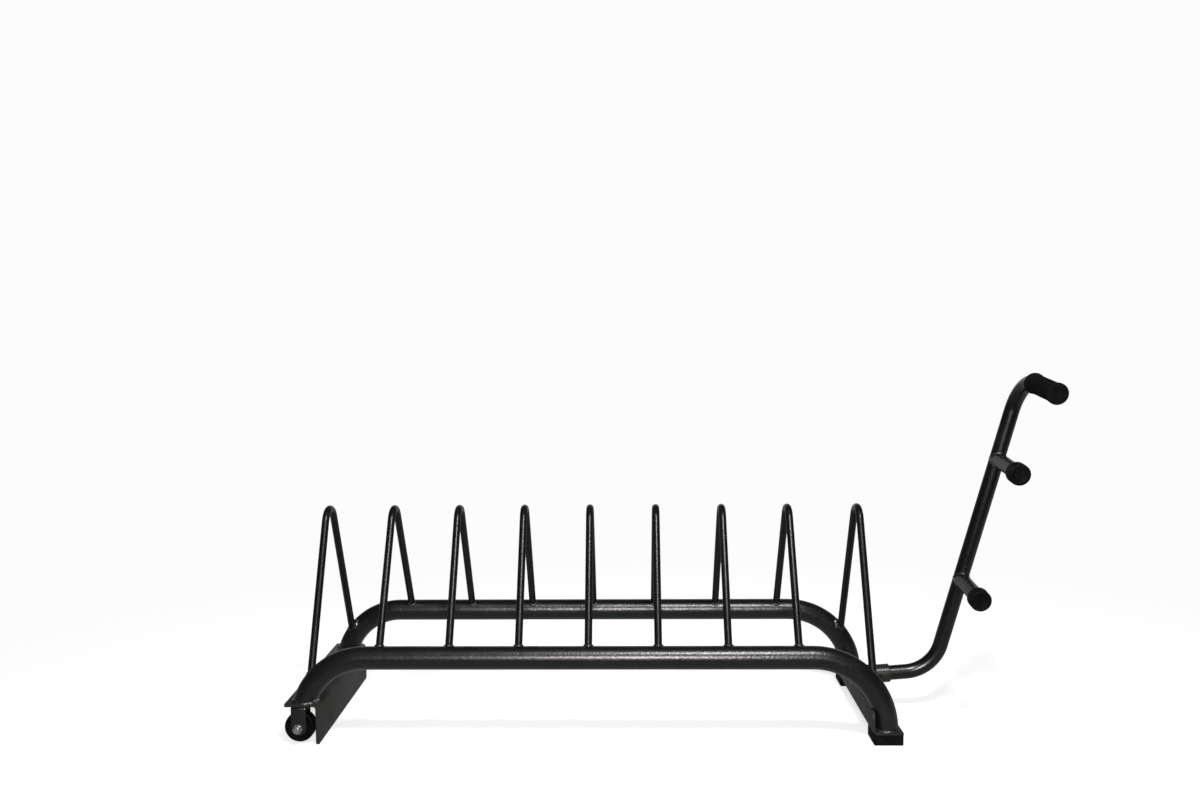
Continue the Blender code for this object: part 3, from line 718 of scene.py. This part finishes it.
def makeStand():
    s = standSizes
    left, inner = webX - s["flange"], webX - s["sheet"]
    corners = [
        (left, s["height"], 0.0),
        (webX, s["height"], s["innerFold"] + s["sheet"]),
        (webX, 0.0, 0.0),
        (inner, 0.0, 0.0),
        (inner, s["height"] - s["sheet"], s["innerFold"]),
        (left, s["height"] - s["sheet"], 0.0),
    ]
    low = (lambda spot: spot.z < gap, s["lowCorner"])
    outer = (lambda spot: spot.x < left + gap, s["flangeCorner"])
    stand = foldedSheet("wheelEndStand", s, corners, low, outer)
    standFor(stand, "wheel_end_stand")


def makeFootAngle():
    s = angleSizes
    top, right, inner = s["bottom"] + s["height"], angleX + s["base"], angleX + s["sheet"]
    corners = [
        (angleX, top, 0.0),
        (angleX, s["bottom"], s["innerFold"] + s["sheet"]),
        (right, s["bottom"], 0.0),
        (right, angleFloor, 0.0),
        (inner, angleFloor, s["innerFold"]),
        (inner, top, 0.0),
    ]
    high = (lambda spot: spot.z > top - gap, s["highCorner"])
    angle = foldedSheet("footEndAngle", s, corners, high)
    notch = (socketSizes["radius"] + gap, socketBase, socketAxis)
    cutters = [drill("notchCutter", *notch, sheetPaint, *s["notch"], 64)]
    for _, side in ends:
        seat = railShape(side, railSizes["radius"] + gap, 0.0)
        cutters.append(toPiece("railCutter", seat, sheetPaint))
    standFor(cutWith(angle, cutters), "foot_end_angle")


makeStand()
makeFootAngle()
print("folded sheets made")


# Socket, gusset and set screw

gussetSizes = {
    "half": 0.003, "top": 0.045, "bottom": 0.033, "edge": 0.0005, "footBead": 0.031,
    "webBeadShort": 0.001, "topBead": (0.002, 0.043),
}


def makeSocket():
    s = socketSizes
    cham, outer, bore, long = s["chamfer"], s["radius"], s["bore"], s["length"]
    profile = [(0.0, outer - cham), (cham, outer), (long - cham, outer), (long, outer - cham)]
    profile += [(long, bore + cham), (long - cham, bore), (cham, bore), (0.0, bore + cham)]
    bm = placed(lathe(profile, 96, closed=True), socketBase, socketAxis)
    socket = toPiece("handleSocket", bm, socketPaint, 50.0)
    screwBase = socketBase + socketAxis * (long - s["screwFromMouth"])
    hole = drill("screwHole", s["screwRadius"] + gap, screwBase, forwards, socketPaint, 0.0)
    standFor(cutWith(socket, [hole], 40.0), "handle_socket")
    screw, edge, key, keyEdge = s["screwRadius"], s["screwEdge"], s["keyRadius"], s["keyEdge"]
    floor = outer - s["keyDepth"]
    profile = [(bore, 0.0), (bore, screw - nick), (bore + nick, screw)]
    profile += [(outer - edge, screw), (outer, screw - edge), (outer, key + keyEdge)]
    profile += [(outer - keyEdge, key), (floor, key), (floor - nick, 0.0)]
    bm = placed(lathe(profile, 48, hexagon=(5, 6, 7)), screwBase, forwards)
    standFor(toPiece("socketSetScrew", bm, darkScrew, 25.0), "socket_set_screw")


def makeGusset():
    s, half = gussetSizes, gussetSizes["half"]
    left, low = angleX + angleSizes["sheet"] + gap, angleFloor + gap
    climb = math.tan(socketRise)
    under = (socketSizes["radius"] + gap) / math.cos(socketRise)
    high = socketSizes["height"] + (left - socketX) * climb - under
    clear = angleSizes["innerFold"] + gap
    points = [(left, low + clear), (left + clear, low), (left + s["bottom"], low)]
    points += [(left + s["top"], high + s["top"] * climb), (left, high)]
    gusset = toPiece("socketGusset", extrude(points, "Y", -half, half), sheetPaint)
    standFor(softenEdges(gusset, s["edge"], 2), "socket_gusset")
    runs = [((left, low + clear), (left, high - s["webBeadShort"]))]
    runs.append(((left + clear, low), (left + s["footBead"], low)))
    runs.append([(left + reach, high + reach * climb) for reach in s["topBead"]])
    for _, side in ends:  # a bead on both sides of the plate, along all three edges it touches
        for run in runs:
            weldSeams["socket"].append(straightSeam(*[Vector((x, side * half, z)) for x, z in run]))


makeSocket()
makeGusset()
print("socket made")


# Handle with its pegs, grip and caps

handleSizes = {
    "radius": 0.0127, "wall": 0.002, "plug": 0.055, "lead": 0.0294, "lowerBend": 0.0664,
    "rake": 18.3, "upright": 0.4292, "upperBend": 0.059, "turn": 5.8, "sides": 64, "bendSteps": 32,
}
gripSizes = {
    "body": 0.0155, "flange": 0.01755, "flangeLength": 0.0055, "length": 0.103, "end": 0.003,
    "soft": 0.0016, "step": 0.0008,
    "vent": ((0.0, 0.0022), (0.0004, 0.0016), (0.0014, 0.0)),  # depth and radius
    "ribs": 22, "ribRadius": 0.0008, "ribMargin": 0.002, "ribSink": 0.0002,
}
pegSizes = {
    "rises": {"lower": 0.1247, "upper": 0.3437},
    "reach": 0.1165, "capRadius": 0.0179, "capLength": 0.020, "capEnd": 0.004, "capSoft": 0.0028,
    "capMouth": 0.0008,
    "capDish": ((0.0, 0.62), (0.0003, 0.60), (0.0003, 0.0)),  # depth and share of the radius
}
rake = math.radians(handleSizes["rake"])
up = Vector((math.sin(rake), 0.0, math.cos(rake)))
lean = Matrix.Rotation(math.radians(handleSizes["turn"]), 4, "X")
handleFrame = Matrix.Translation(socketBase) @ Matrix.Rotation(-socketRise, 4, "Y") @ lean
tubeRadius, upperBend = handleSizes["radius"], handleSizes["upperBend"]
lowerBend, lowerTurn = handleSizes["lowerBend"], math.pi / 2 - rake
leadX = socketSizes["length"] + handleSizes["lead"]
uprightRise = lowerBend * (1 - math.cos(lowerTurn))
uprightStart = Vector((leadX + lowerBend * math.sin(lowerTurn), 0.0, uprightRise))
uprightEnd = uprightStart + up * handleSizes["upright"]
gripStart = uprightEnd + up * upperBend + forwards * upperBend


def onHandle(bm):
    bmesh.ops.transform(bm, matrix=handleFrame, verts=bm.verts)
    return bm


def uprightDistance(point):
    away = point - uprightStart
    return (away - up * away.dot(up)).length - tubeRadius


def handleTube(name, path, startSlide=None):
    bore = tubeRadius - handleSizes["wall"]
    bm = sweepTube(path, tubeRadius, handleSizes["sides"], bore, startSlide)
    return toPiece(name, onHandle(bm), handlePaint)


def makeHandle():
    steps, tail = handleSizes["bendSteps"], gripSizes["length"] - gripSizes["end"] - gap
    path = [Vector((socketSizes["length"] - handleSizes["plug"], 0.0, 0.0))]
    path += arcPoints(leadX, 0.0, lowerBend, lowerBend, math.pi, math.pi - lowerTurn, steps)
    for k in range(steps + 1):
        angle = math.pi / 2 * k / steps
        turned = up * math.sin(angle) + forwards * (1 - math.cos(angle))
        path.append(uprightEnd + upperBend * turned)
    path.append(gripStart + forwards * tail)
    standFor(handleTube("handleTube", path), "handle_tube")


def ribTree():
    # rings in a row along Z
    floats = ["pitch", "ringRadius", "ribRadius", "start"]
    tree, given = startTree("gripRibs", Float=floats, Int=["count"])
    first, step = (pointOf(tree, 0.0, 0.0, given[name]) for name in ("start", "pitch"))
    row = {"Count": given["count"], "Start Location": first, "Offset": step}
    row = outOf(tree, "GeometryNodeMeshLine", row)
    section = circleOf(tree, 10, given["ribRadius"])
    rib = sweepOf(tree, circleOf(tree, 72, given["ringRadius"]), section, False)
    ribs = outOf(tree, "GeometryNodeInstanceOnPoints", {"Points": row, "Instance": rib})
    return endTree(tree, ribs, given["finish"])


def makeGrip():
    s = gripSizes
    long, rim, soft = s["length"], s["flangeLength"], s["soft"]
    body, flange = s["body"], s["flange"]
    bore, end = tubeRadius + gap, long - s["end"]
    profile = [(end, 0.0), (end, bore), (0.0, bore)]
    profile += arcRows(soft, flange - soft, soft, -90, 0)
    profile += arcRows(rim - soft, flange - soft, soft, 0, 60)
    profile += [(rim + s["step"], body), (long - rim - s["step"], body)]
    profile += arcRows(long - rim + soft, flange - soft, soft, -60, 0)
    profile += arcRows(long - soft, flange - soft, soft, 0, 90)
    profile += [(long - depth, radius) for depth, radius in s["vent"]]
    base = placed(lathe(profile, 96), gripStart, forwards)
    grip = toPiece("handleGrip", onHandle(base), gripRubber, 50.0)
    pitch = (long - 2 * rim - 2 * s["ribMargin"]) / (s["ribs"] - 1)
    values = s | {"count": s["ribs"], "pitch": pitch, "ringRadius": body - s["ribSink"]}
    values |= {"start": rim + s["ribMargin"], "finish": gripRubber}
    ribs = growPiece("gripRibs", ribTree(), values)
    turn = upwards.rotation_difference(forwards).to_matrix().to_4x4()
    ribs.data.transform(handleFrame @ Matrix.Translation(gripStart) @ turn)
    for piece in (grip, ribs):
        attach(piece, "frame")
    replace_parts(grip, "handle_grip")


def makePeg(level, rise):
    s, root = pegSizes, uprightStart + up * rise
    slide = toSurface(uprightDistance, 1)
    path = [root, root + forwards * (s["reach"] - s["capEnd"] - gap)]
    standFor(handleTube(level + "Peg", path, slide), level + "_peg")
    seam = [slide(point, forwards) for point in sweepRings(path, tubeRadius, 72)[0]]
    weldSeams["pegs"].append([handleFrame @ point for point in seam])
    outer, long, soft, mouth = s["capRadius"], s["capLength"], s["capSoft"], s["capMouth"]
    end, bore = long - s["capEnd"], tubeRadius + gap
    profile = [(end, 0.0), (end, bore), (0.0, bore)]
    profile += arcRows(mouth, outer - mouth, mouth, -90, 0, 3)
    profile += arcRows(long - soft, outer - soft, soft, 0, 90, 8)
    profile += [(long - depth, outer * share) for depth, share in s["capDish"]]
    bm = placed(lathe(profile, 96), root + forwards * (s["reach"] - long), forwards)
    cap = toPiece(level + "PegCap", onHandle(bm), capRubber, 50.0)
    standFor(cap, level + "_peg_cap")


makeHandle()
makeGrip()
for level, rise in pegSizes["rises"].items():
    makePeg(level, rise)
print("handle made")


# Forks and wheels

forkSizes = {
    "sheet": 0.003, "width": 0.0246, "inside": 0.024, "fold": 0.0015, "inset": 0.0015,
    "edge": 0.0004, "beadIn": 0.0035, "beadShort": 0.001,
}
wheelSizes = {
    "radius": 0.02475, "tread": 0.021, "shoulder": 0.003, "flat": 0.0012, "lip": 0.0006,
    "hub": 0.022,
    "boss": (0.0058, 0.0044, 0.0032, 0.0024),  # outside the bore, from the face to the hub's end
    "sleeve": 0.00635, "play": 0.0002, "lift": 0.0033, "fromWeb": 0.0038, "dish": 0.0012,
}
boltSizes = {
    "shank": 0.00475, "flats": 0.00715, "head": 0.006, "nut": 0.0119, "tip": 0.0006,
    "chamfer": 0.0007, "washerFace": 0.96,
    "crown": ((0.0003, 0.84), (0.0, 0.78), (0.0, 0.0)),  # depth and share of the corners
    "crownRise": 0.0013, "nutSkirt": 0.65,
    "nutSteps": (0.0005, 0.0006, 0.0008),  # at its foot, over the skirt and under its end
    "nutShares": (0.97, 1.0, 1.0, 0.93, 0.86, 0.78),  # of the flats, outwards
}
axleZ = wheelSizes["radius"] + wheelSizes["lift"]
axleX = webX - standSizes["sheet"] - wheelSizes["fromWeb"] - wheelSizes["radius"]
forkY = standSizes["halfLength"] - forkSizes["inset"] - forkSizes["sheet"] - forkSizes["inside"] / 2


def makeFork(end, side):
    s, half, y = forkSizes, forkSizes["width"] / 2, forkY * side
    top, low = standSizes["height"] - standSizes["sheet"] - gap, axleZ - half
    inside, out = s["inside"] / 2, s["inside"] / 2 + s["sheet"]
    corners = [
        (y - out, low, 0.0),
        (y - out, top, s["fold"] + s["sheet"]),
        (y + out, top, s["fold"] + s["sheet"]),
        (y + out, low, 0.0),
        (y + inside, low, 0.0),
        (y + inside, top - s["sheet"], s["fold"]),
        (y - inside, top - s["sheet"], s["fold"]),
        (y - inside, low, 0.0),
    ]
    bm = extrude(foldedOutline(corners, 8), "X", axleX - half, axleX + half)
    roundCorners(bm, lambda spot: spot.z < low + gap, 0, half - gap, 14)
    fork = softenEdges(toPiece(end + "Fork", bm, charcoalPaint), s["edge"], 2)
    axle = Vector((axleX, y, axleZ))
    hole = drill("axleHole", boltSizes["shank"] + gap, axle, forwards, charcoalPaint)
    standFor(cutWith(fork, [hole]), end + "_fork")
    for edge in (-1, 1):
        start, line = axleX - half + s["beadShort"], y + edge * (out - s["beadIn"])
        first = Vector((start, line, top + gap / 2))
        last = first + Vector((s["width"] - 2 * s["beadShort"], 0.0, 0.0))
        weldSeams["forks"].append(straightSeam(first, last))


def makeWheel(end, side):
    s, b, name, node = wheelSizes, boltSizes, end + "Wheel", end + "_wheel"
    base, outward = Vector((axleX, forkY * side, axleZ)), Vector((0.0, side, 0.0))
    radius, half, soft, lip, boss = s["radius"], s["tread"] / 2, s["shoulder"], s["lip"], s["boss"]
    bore, hub = s["sleeve"] + s["play"], s["hub"] / 2
    face, rim = half - s["dish"], radius - 2 * soft
    upper = [(0.0, radius), (half - soft - s["flat"], radius)]
    upper += arcRows(half - soft, radius - soft, soft, 0, 90, 8)
    upper += [(half, rim + lip)] + arcRows(half - lip, rim, lip, 60, -90, 3)[:2]
    upper += [(face, rim - s["dish"]), (face, bore + boss[0]), (face + lip, bore + boss[1])]
    upper += [(hub - lip, bore + boss[2]), (hub, bore + boss[3])]
    upper += [(hub, bore + nick), (hub - nick, bore)]
    lower = [(-height, size) for height, size in reversed(upper[1:])]
    bm = placed(lathe(lower + upper, 96, closed=True), base, outward)
    standFor(toPiece(name, bm, wheelRubber, 40.0), node, node)
    reach, sleeve, shank = forkSizes["inside"] / 2 - gap, s["sleeve"], b["shank"]
    profile = [(-reach, sleeve - nick), (-reach + nick, sleeve), (reach - nick, sleeve)]
    profile += [(reach, sleeve - nick), (reach, shank + gap), (-reach, shank + gap)]
    bm = placed(lathe(profile, 48, closed=True), base, outward)
    standFor(toPiece(name + "Sleeve", bm, zincPlate), node + "_sleeve")
    ear = reach + gap + forkSizes["sheet"] + gap
    flats, nut, cham = b["flats"], b["nut"], b["chamfer"]
    tip, top, corner = ear + nut + b["tip"], ear + b["head"], flats / math.cos(math.pi / 6)
    profile = [(-tip, 0.0), (-tip, shank - cham), (-tip + cham, shank), (ear, shank)]
    profile += [(ear, flats * b["washerFace"]), (ear + nick, flats), (top - b["crownRise"], flats)]
    profile += [(top - depth, corner * share) for depth, share in b["crown"]]
    bm = placed(lathe(profile, 72, hexagon=(5, 6)), base, -outward)
    standFor(toPiece(name + "Bolt", bm, zincPlate, 22.0), node + "_bolt")
    skirt, (foot, over, under) = nut * b["nutSkirt"], b["nutSteps"]
    heights = (0.0, foot, skirt, skirt + over, nut - under, nut)
    profile = [(height, flats * share) for height, share in zip(heights, b["nutShares"])]
    profile += [(nut, shank + gap), (0.0, shank + gap)]
    bm = placed(lathe(profile, 72, closed=True, hexagon=(1, 2)), base + outward * ear, outward)
    standFor(toPiece(name + "Nut", bm, zincPlate, 22.0), node + "_nut")


for end, side in ends:
    makeFork(end, side)
    makeWheel(end, side)
print("wheels made")


# Rubber feet

footSizes = {
    "width": 0.0475, "depth": 0.053, "height": 0.0165, "corner": 0.0022, "edge": 0.0009,
    "recess": 0.007, "recessRadius": 0.0086, "bore": 0.0033, "washer": 0.008, "washerSheet": 0.0014,
    "washerEdge": 0.0002, "screwHead": 0.0055, "screwHeadHeight": 0.003, "screwShank": 0.003,
    "screwTip": 0.0005,
    "wellFrom": -0.01,  # where the cutter for the recess and the bore starts
    "screwDome": ((0.0018, 0.0), (0.0018, 0.34), (0.0, 0.36), (0.0003, 0.72), (0.0012, 0.94)),
}
footX = angleX + angleSizes["base"] - footSizes["width"] / 2
footY = angleSizes["halfLength"] - footSizes["depth"] / 2


def makeFoot(end, side):
    s, name, node = footSizes, end + "Foot", end + "_foot"
    base = Vector((footX, side * footY, 0.0))
    half, deep, bore = s["width"] / 2, s["depth"] / 2, s["bore"]
    spread = ((-half, -deep), (half, -deep), (half, deep), (-half, deep))
    corners = [(footX + u, base.y + v, s["corner"]) for u, v in spread]
    bm = extrude(foldedOutline(corners, 5), "Z", 0.0, s["height"])
    foot = softenEdges(toPiece(name, bm, footRubber), s["edge"], 3)
    well = [(s["wellFrom"], 0.0), (s["wellFrom"], s["recessRadius"])]
    well.append((s["recess"], s["recessRadius"]))
    well += [(s["recess"], bore), (cutPast, bore), (cutPast, 0.0)]
    foot = cutWith(foot, [toPiece("footWell", placed(lathe(well, 48), base, upwards), footRubber)])
    standFor(foot, node)
    top, edge, rim = s["recess"] - gap, s["washerEdge"], s["washer"]
    low = top - s["washerSheet"]
    profile = [(low, rim - edge), (low + edge, rim), (top, rim), (top, bore), (low, bore)]
    bm = placed(lathe(profile, 48, closed=True), base, upwards)
    standFor(toPiece(name + "Washer", bm, zincPlate), node + "_washer")
    seat, head, shank, point = low - gap, s["screwHead"], s["screwShank"], s["screwTip"]
    dome, tip = seat - s["screwHeadHeight"], angleFloor + gap
    profile = [(dome + rise, head * share) for rise, share in s["screwDome"]]
    profile += [(seat - nick, head), (seat, head), (seat, shank)]
    profile += [(tip - point, shank), (tip, shank - point), (tip, 0.0)]
    bm = placed(lathe(profile, 48, hexagon=(1, 2)), base, upwards)
    standFor(toPiece(name + "Screw", bm, zincPlate, 30.0), node + "_screw")


for end, side in ends:
    makeFoot(end, side)
print("feet made")


# Weld beads

weldSizes = {  # bead radius, ripple pitch and ripple depth
    "dividerFeet": (0.0024, 0.0019, 0.14),
    "wedges": (0.0040, 0.0030, 0.10),
    "railEnds": (0.0030, 0.0024, 0.14),
    "forks": (0.0020, 0.0020, 0.14),
    "socket": (0.0019, 0.0020, 0.14),
    "pegs": (0.0022, 0.0020, 0.12),
}
closedSeams = ("dividerFeet", "railEnds", "pegs")
beadLook = {
    "pointsPerRipple": 5.0,
    "crest": 0.66,  # where a ripple crosses the bead's own radius
    "wanderScale": 130.0, "wanderDetail": 2.0, "wander": 1.1, "endRise": 5.0, "endLeast": 0.08,
    "sides": 10,
}
toeFrom = 0.55  # the part of a rail's end that gets a thick run beside the fold, in rail radii


def weldTree():
    # a bead along each seam, rippled as the torch steps on, with a slow wander in its width
    floats = ["beadRadius", "ripplePitch", "rippleDepth", "seed", "taper"]
    tree, given = startTree("weldBead", Float=floats)  # taper is 1 for a run with two ends
    pitch, look = given["ripplePitch"], beadLook
    curve = outOf(tree, "GeometryNodeMeshToCurve", {"Mesh": given["source"]})
    fine = {"Curve": curve, "Length": mathOf(tree, "DIVIDE", pitch, look["pointsPerRipple"])}
    fine = outOf(tree, "GeometryNodeResampleCurve", fine, mode="LENGTH")
    along = tree.nodes.new("GeometryNodeSplineParameter").outputs
    ripple = mathOf(tree, "FRACT", mathOf(tree, "DIVIDE", along["Length"], pitch))
    ripple = mathOf(tree, "SUBTRACT", mathOf(tree, "SQRT", ripple), look["crest"])
    ripple = mathOf(tree, "MULTIPLY", ripple, given["rippleDepth"])
    wander = {"Vector": outOf(tree, "GeometryNodeInputPosition"), "W": given["seed"]}
    wander |= {"Scale": look["wanderScale"], "Detail": look["wanderDetail"]}
    wander = outOf(tree, "ShaderNodeTexNoise", wander, "Fac", noise_dimensions="4D")
    wander = mathOf(tree, "MULTIPLY", mathOf(tree, "SUBTRACT", wander, 0.5), look["wander"])
    swell = mathOf(tree, "ADD", mathOf(tree, "ADD", ripple, wander), 1.0)
    nearEnd = mathOf(tree, "SUBTRACT", 1.0, along["Factor"])
    nearEnd = mathOf(tree, "MINIMUM", along["Factor"], nearEnd)
    nearEnd = mathOf(tree, "MULTIPLY", nearEnd, look["endRise"])
    nearEnd = mathOf(tree, "MINIMUM", mathOf(tree, "ADD", nearEnd, look["endLeast"]), 1.0)
    thinner = mathOf(tree, "SUBTRACT", 1.0, mathOf(tree, "SQRT", nearEnd))
    thinner = mathOf(tree, "SUBTRACT", 1.0, mathOf(tree, "MULTIPLY", thinner, given["taper"]))
    sized = {"Curve": fine, "Radius": mathOf(tree, "MULTIPLY", swell, thinner)}
    sized = outOf(tree, "GeometryNodeSetCurveRadius", sized)
    bead = sweepOf(tree, sized, circleOf(tree, look["sides"], given["beadRadius"]))
    return endTree(tree, bead, given["finish"])


def seamMesh(name, seams, closed):
    mesh = bpy.data.meshes.new(name)
    points, edges = [], []
    for seam in seams:
        first = len(points)
        points += seam
        edges += [(first + k, first + k + 1) for k in range(len(seam) - 1)]
        if closed:
            edges.append((len(points) - 1, first))
    mesh.from_pydata(points, edges, [])
    return mesh


for _, side in ends:  # where the rails land on the sheets
    path, radius = railPath(side * railSizes["halfSpacing"]), railSizes["radius"]
    rings = sweepRings(path, radius, 96, toLevel(standSizes["height"]), toLevel(angleFloor))
    weldSeams["railEnds"] += [rings[0], rings[-1]]
    addWedge(point for point in rings[0] if point.x - path[0].x > toeFrom * radius)
beadTree = weldTree()
for seed, (joint, seams) in enumerate(weldSeams.items()):
    closed = joint in closedSeams
    values = dict(zip(("beadRadius", "ripplePitch", "rippleDepth"), weldSizes[joint]))
    values |= {"seed": 3.0 + seed, "taper": 0.0 if closed else 1.0}
    values["finish"] = chippedWeld if joint == "wedges" else weldPaint
    beads = growPiece(joint + "Welds", beadTree, values, seamMesh(joint + "Seams", seams, closed))
    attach(beads, "frame")
print("welds made")


# Floor, light and camera

studioLook = {
    "floorSize": 30.0, "floorTone": 0.80, "floorSpread": 0.01,
    "floorCloud": (3.0, 3.0, 0.3, 0.7),  # scale, detail and range of its noise
    "floorGlow": 1.12,
    "floorShine": 0.40,  # how bright the floor is in the paint's reflections
    "shineEnd": (-0.42, -0.62),  # where that fades to the room, towards the camera
    "shadowKept": 0.40, "shadowMiddle": (-0.55, 0.0, 0.0), "shadowFade": (0.7, 1.5), "pale": 0.972,
    "room": 0.06,  # the unlit side of the studio, behind the camera
    "backdrop": (0.8, 0.98),  # where the room turns pale behind the rack
    "fill": 0.46, "tint": (1.0, 0.996, 1.0, 1.0),
}
lampSizes = {  # place, target, size, watts and tint
    "upperKey": ((0.89, -1.43, 2.41), (0.6, -0.15, 0.14), (0.45, 0.22), 80.0, (0.975, 0.99, 1.0)),
    "cameraKey": ((0.565, -2.13, 0.84), (0.55, -0.15, 0.14), (0.3, 0.14), 57.0, (1.0, 0.94, 0.915)),
}
cameraSizes = {
    "place": (0.51209, -2.00365, 0.70688), "yaw": -1.368,
    "pitch": 4.420,  # downwards
    "roll": -0.464, "lens": 34.541, "sensor": 36.0,
}


def seenRays(tree):
    # camera, mirror and glass rays are the ones that see the pale surroundings
    path = tree.nodes.new("ShaderNodeLightPath").outputs
    seen = mathOf(tree, "MAXIMUM", path["Is Camera Ray"], path["Is Glossy Ray"])
    return path["Is Glossy Ray"], mathOf(tree, "MAXIMUM", seen, path["Is Transmission Ray"])


def mixShaders(tree, share, first, strength):
    glow = outOf(tree, "ShaderNodeEmission", {"Strength": strength})
    return outOf(tree, "ShaderNodeMixShader", {0: share, 1: first, 2: glow})


def makeFloor():
    look, pale, spread = studioLook, studioLook["floorTone"], studioLook["floorSpread"]
    bm = bmesh.new()
    bmesh.ops.create_grid(bm, x_segments=4, y_segments=4, size=look["floorSize"])
    material, tree, shader, coords = startMaterial("paleFloor")
    cloud = patchesOf(tree, coords, *look["floorCloud"])
    tone = mixOf(tree, cloud, (pale - spread,) * 3, (pale + spread,) * 3)
    feed(tree, shader, {"Base Color": tone, "Roughness": 0.9, "Specular IOR Level": 0.0})
    glossy, seen = seenRays(tree)
    share = mathOf(tree, "MULTIPLY", seen, 1.0 - look["shadowKept"])
    near = mixShaders(tree, share, shader.outputs[0], look["floorGlow"])
    away = {"Vector": coords, "Location": look["shadowMiddle"]}
    away = {0: outOf(tree, "ShaderNodeMapping", away)}
    away = outOf(tree, "ShaderNodeVectorMath", away, "Value", operation="LENGTH")
    away = mathOf(tree, "MULTIPLY", rangeOf(tree, away, *look["shadowFade"]), seen)
    lit = mixShaders(tree, away, near, look["pale"])
    depth = outOf(tree, "ShaderNodeSeparateXYZ", {0: coords}, "Y")
    shine = rangeOf(tree, depth, *look["shineEnd"], look["floorShine"], look["room"])
    both = mixShaders(tree, glossy, lit, shine)
    feed(tree, tree.nodes["Material Output"], {"Surface": both})
    toPiece("floor", bm, material)


def makeWorld():
    look, world = studioLook, bpy.data.worlds.new("paleStudio")
    world.use_nodes = True
    bpy.context.scene.world = world
    tree = world.node_tree
    glossy, seen = seenRays(tree)
    direction = tree.nodes.new("ShaderNodeTexCoord").outputs["Generated"]
    behind = outOf(tree, "ShaderNodeSeparateXYZ", {0: direction}, "Y")
    behind = rangeOf(tree, behind, *look["backdrop"], look["room"], look["pale"])
    plain = mathOf(tree, "MULTIPLY", mathOf(tree, "SUBTRACT", 1.0, glossy), look["pale"])
    backdrop = mathOf(tree, "ADD", mathOf(tree, "MULTIPLY", behind, glossy), plain)
    strength = mathOf(tree, "MULTIPLY", backdrop, seen)
    unseen = mathOf(tree, "MULTIPLY", mathOf(tree, "SUBTRACT", 1.0, seen), look["fill"])
    values = {"Color": look["tint"], "Strength": mathOf(tree, "ADD", strength, unseen)}
    feed(tree, tree.nodes["Background"], values)


def addLamp(name, place, target, size, watts, tint):
    light = bpy.data.lights.new(name, "AREA")
    light.shape = "RECTANGLE"
    light.size, light.size_y = size
    light.energy = watts
    light.color = tint
    lamp = bpy.data.objects.new(name, light)
    lamp.location = place
    lamp.rotation_euler = (Vector(target) - Vector(place)).to_track_quat("-Z", "Y").to_euler()
    bpy.context.scene.collection.objects.link(lamp)


def makeCamera():
    s = cameraSizes
    data = bpy.data.cameras.new("photoCamera")
    data.sensor_fit = "HORIZONTAL"
    data.sensor_width = s["sensor"]
    data.lens = s["lens"]
    camera = bpy.data.objects.new("photoCamera", data)
    stand = Matrix.Translation(s["place"])
    for degrees, axis in ((-s["yaw"], "Z"), (90.0 - s["pitch"], "X"), (s["roll"], "Z")):
        stand @= Matrix.Rotation(math.radians(degrees), 4, axis)
    camera.matrix_world = stand
    bpy.context.scene.collection.objects.link(camera)
    bpy.context.scene.camera = camera


makeFloor()
makeWorld()
for name, settings in lampSizes.items():
    addLamp(name, *settings)
makeCamera()
bpy.context.scene.view_settings.view_transform = "Standard"
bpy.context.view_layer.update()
print("stage made")
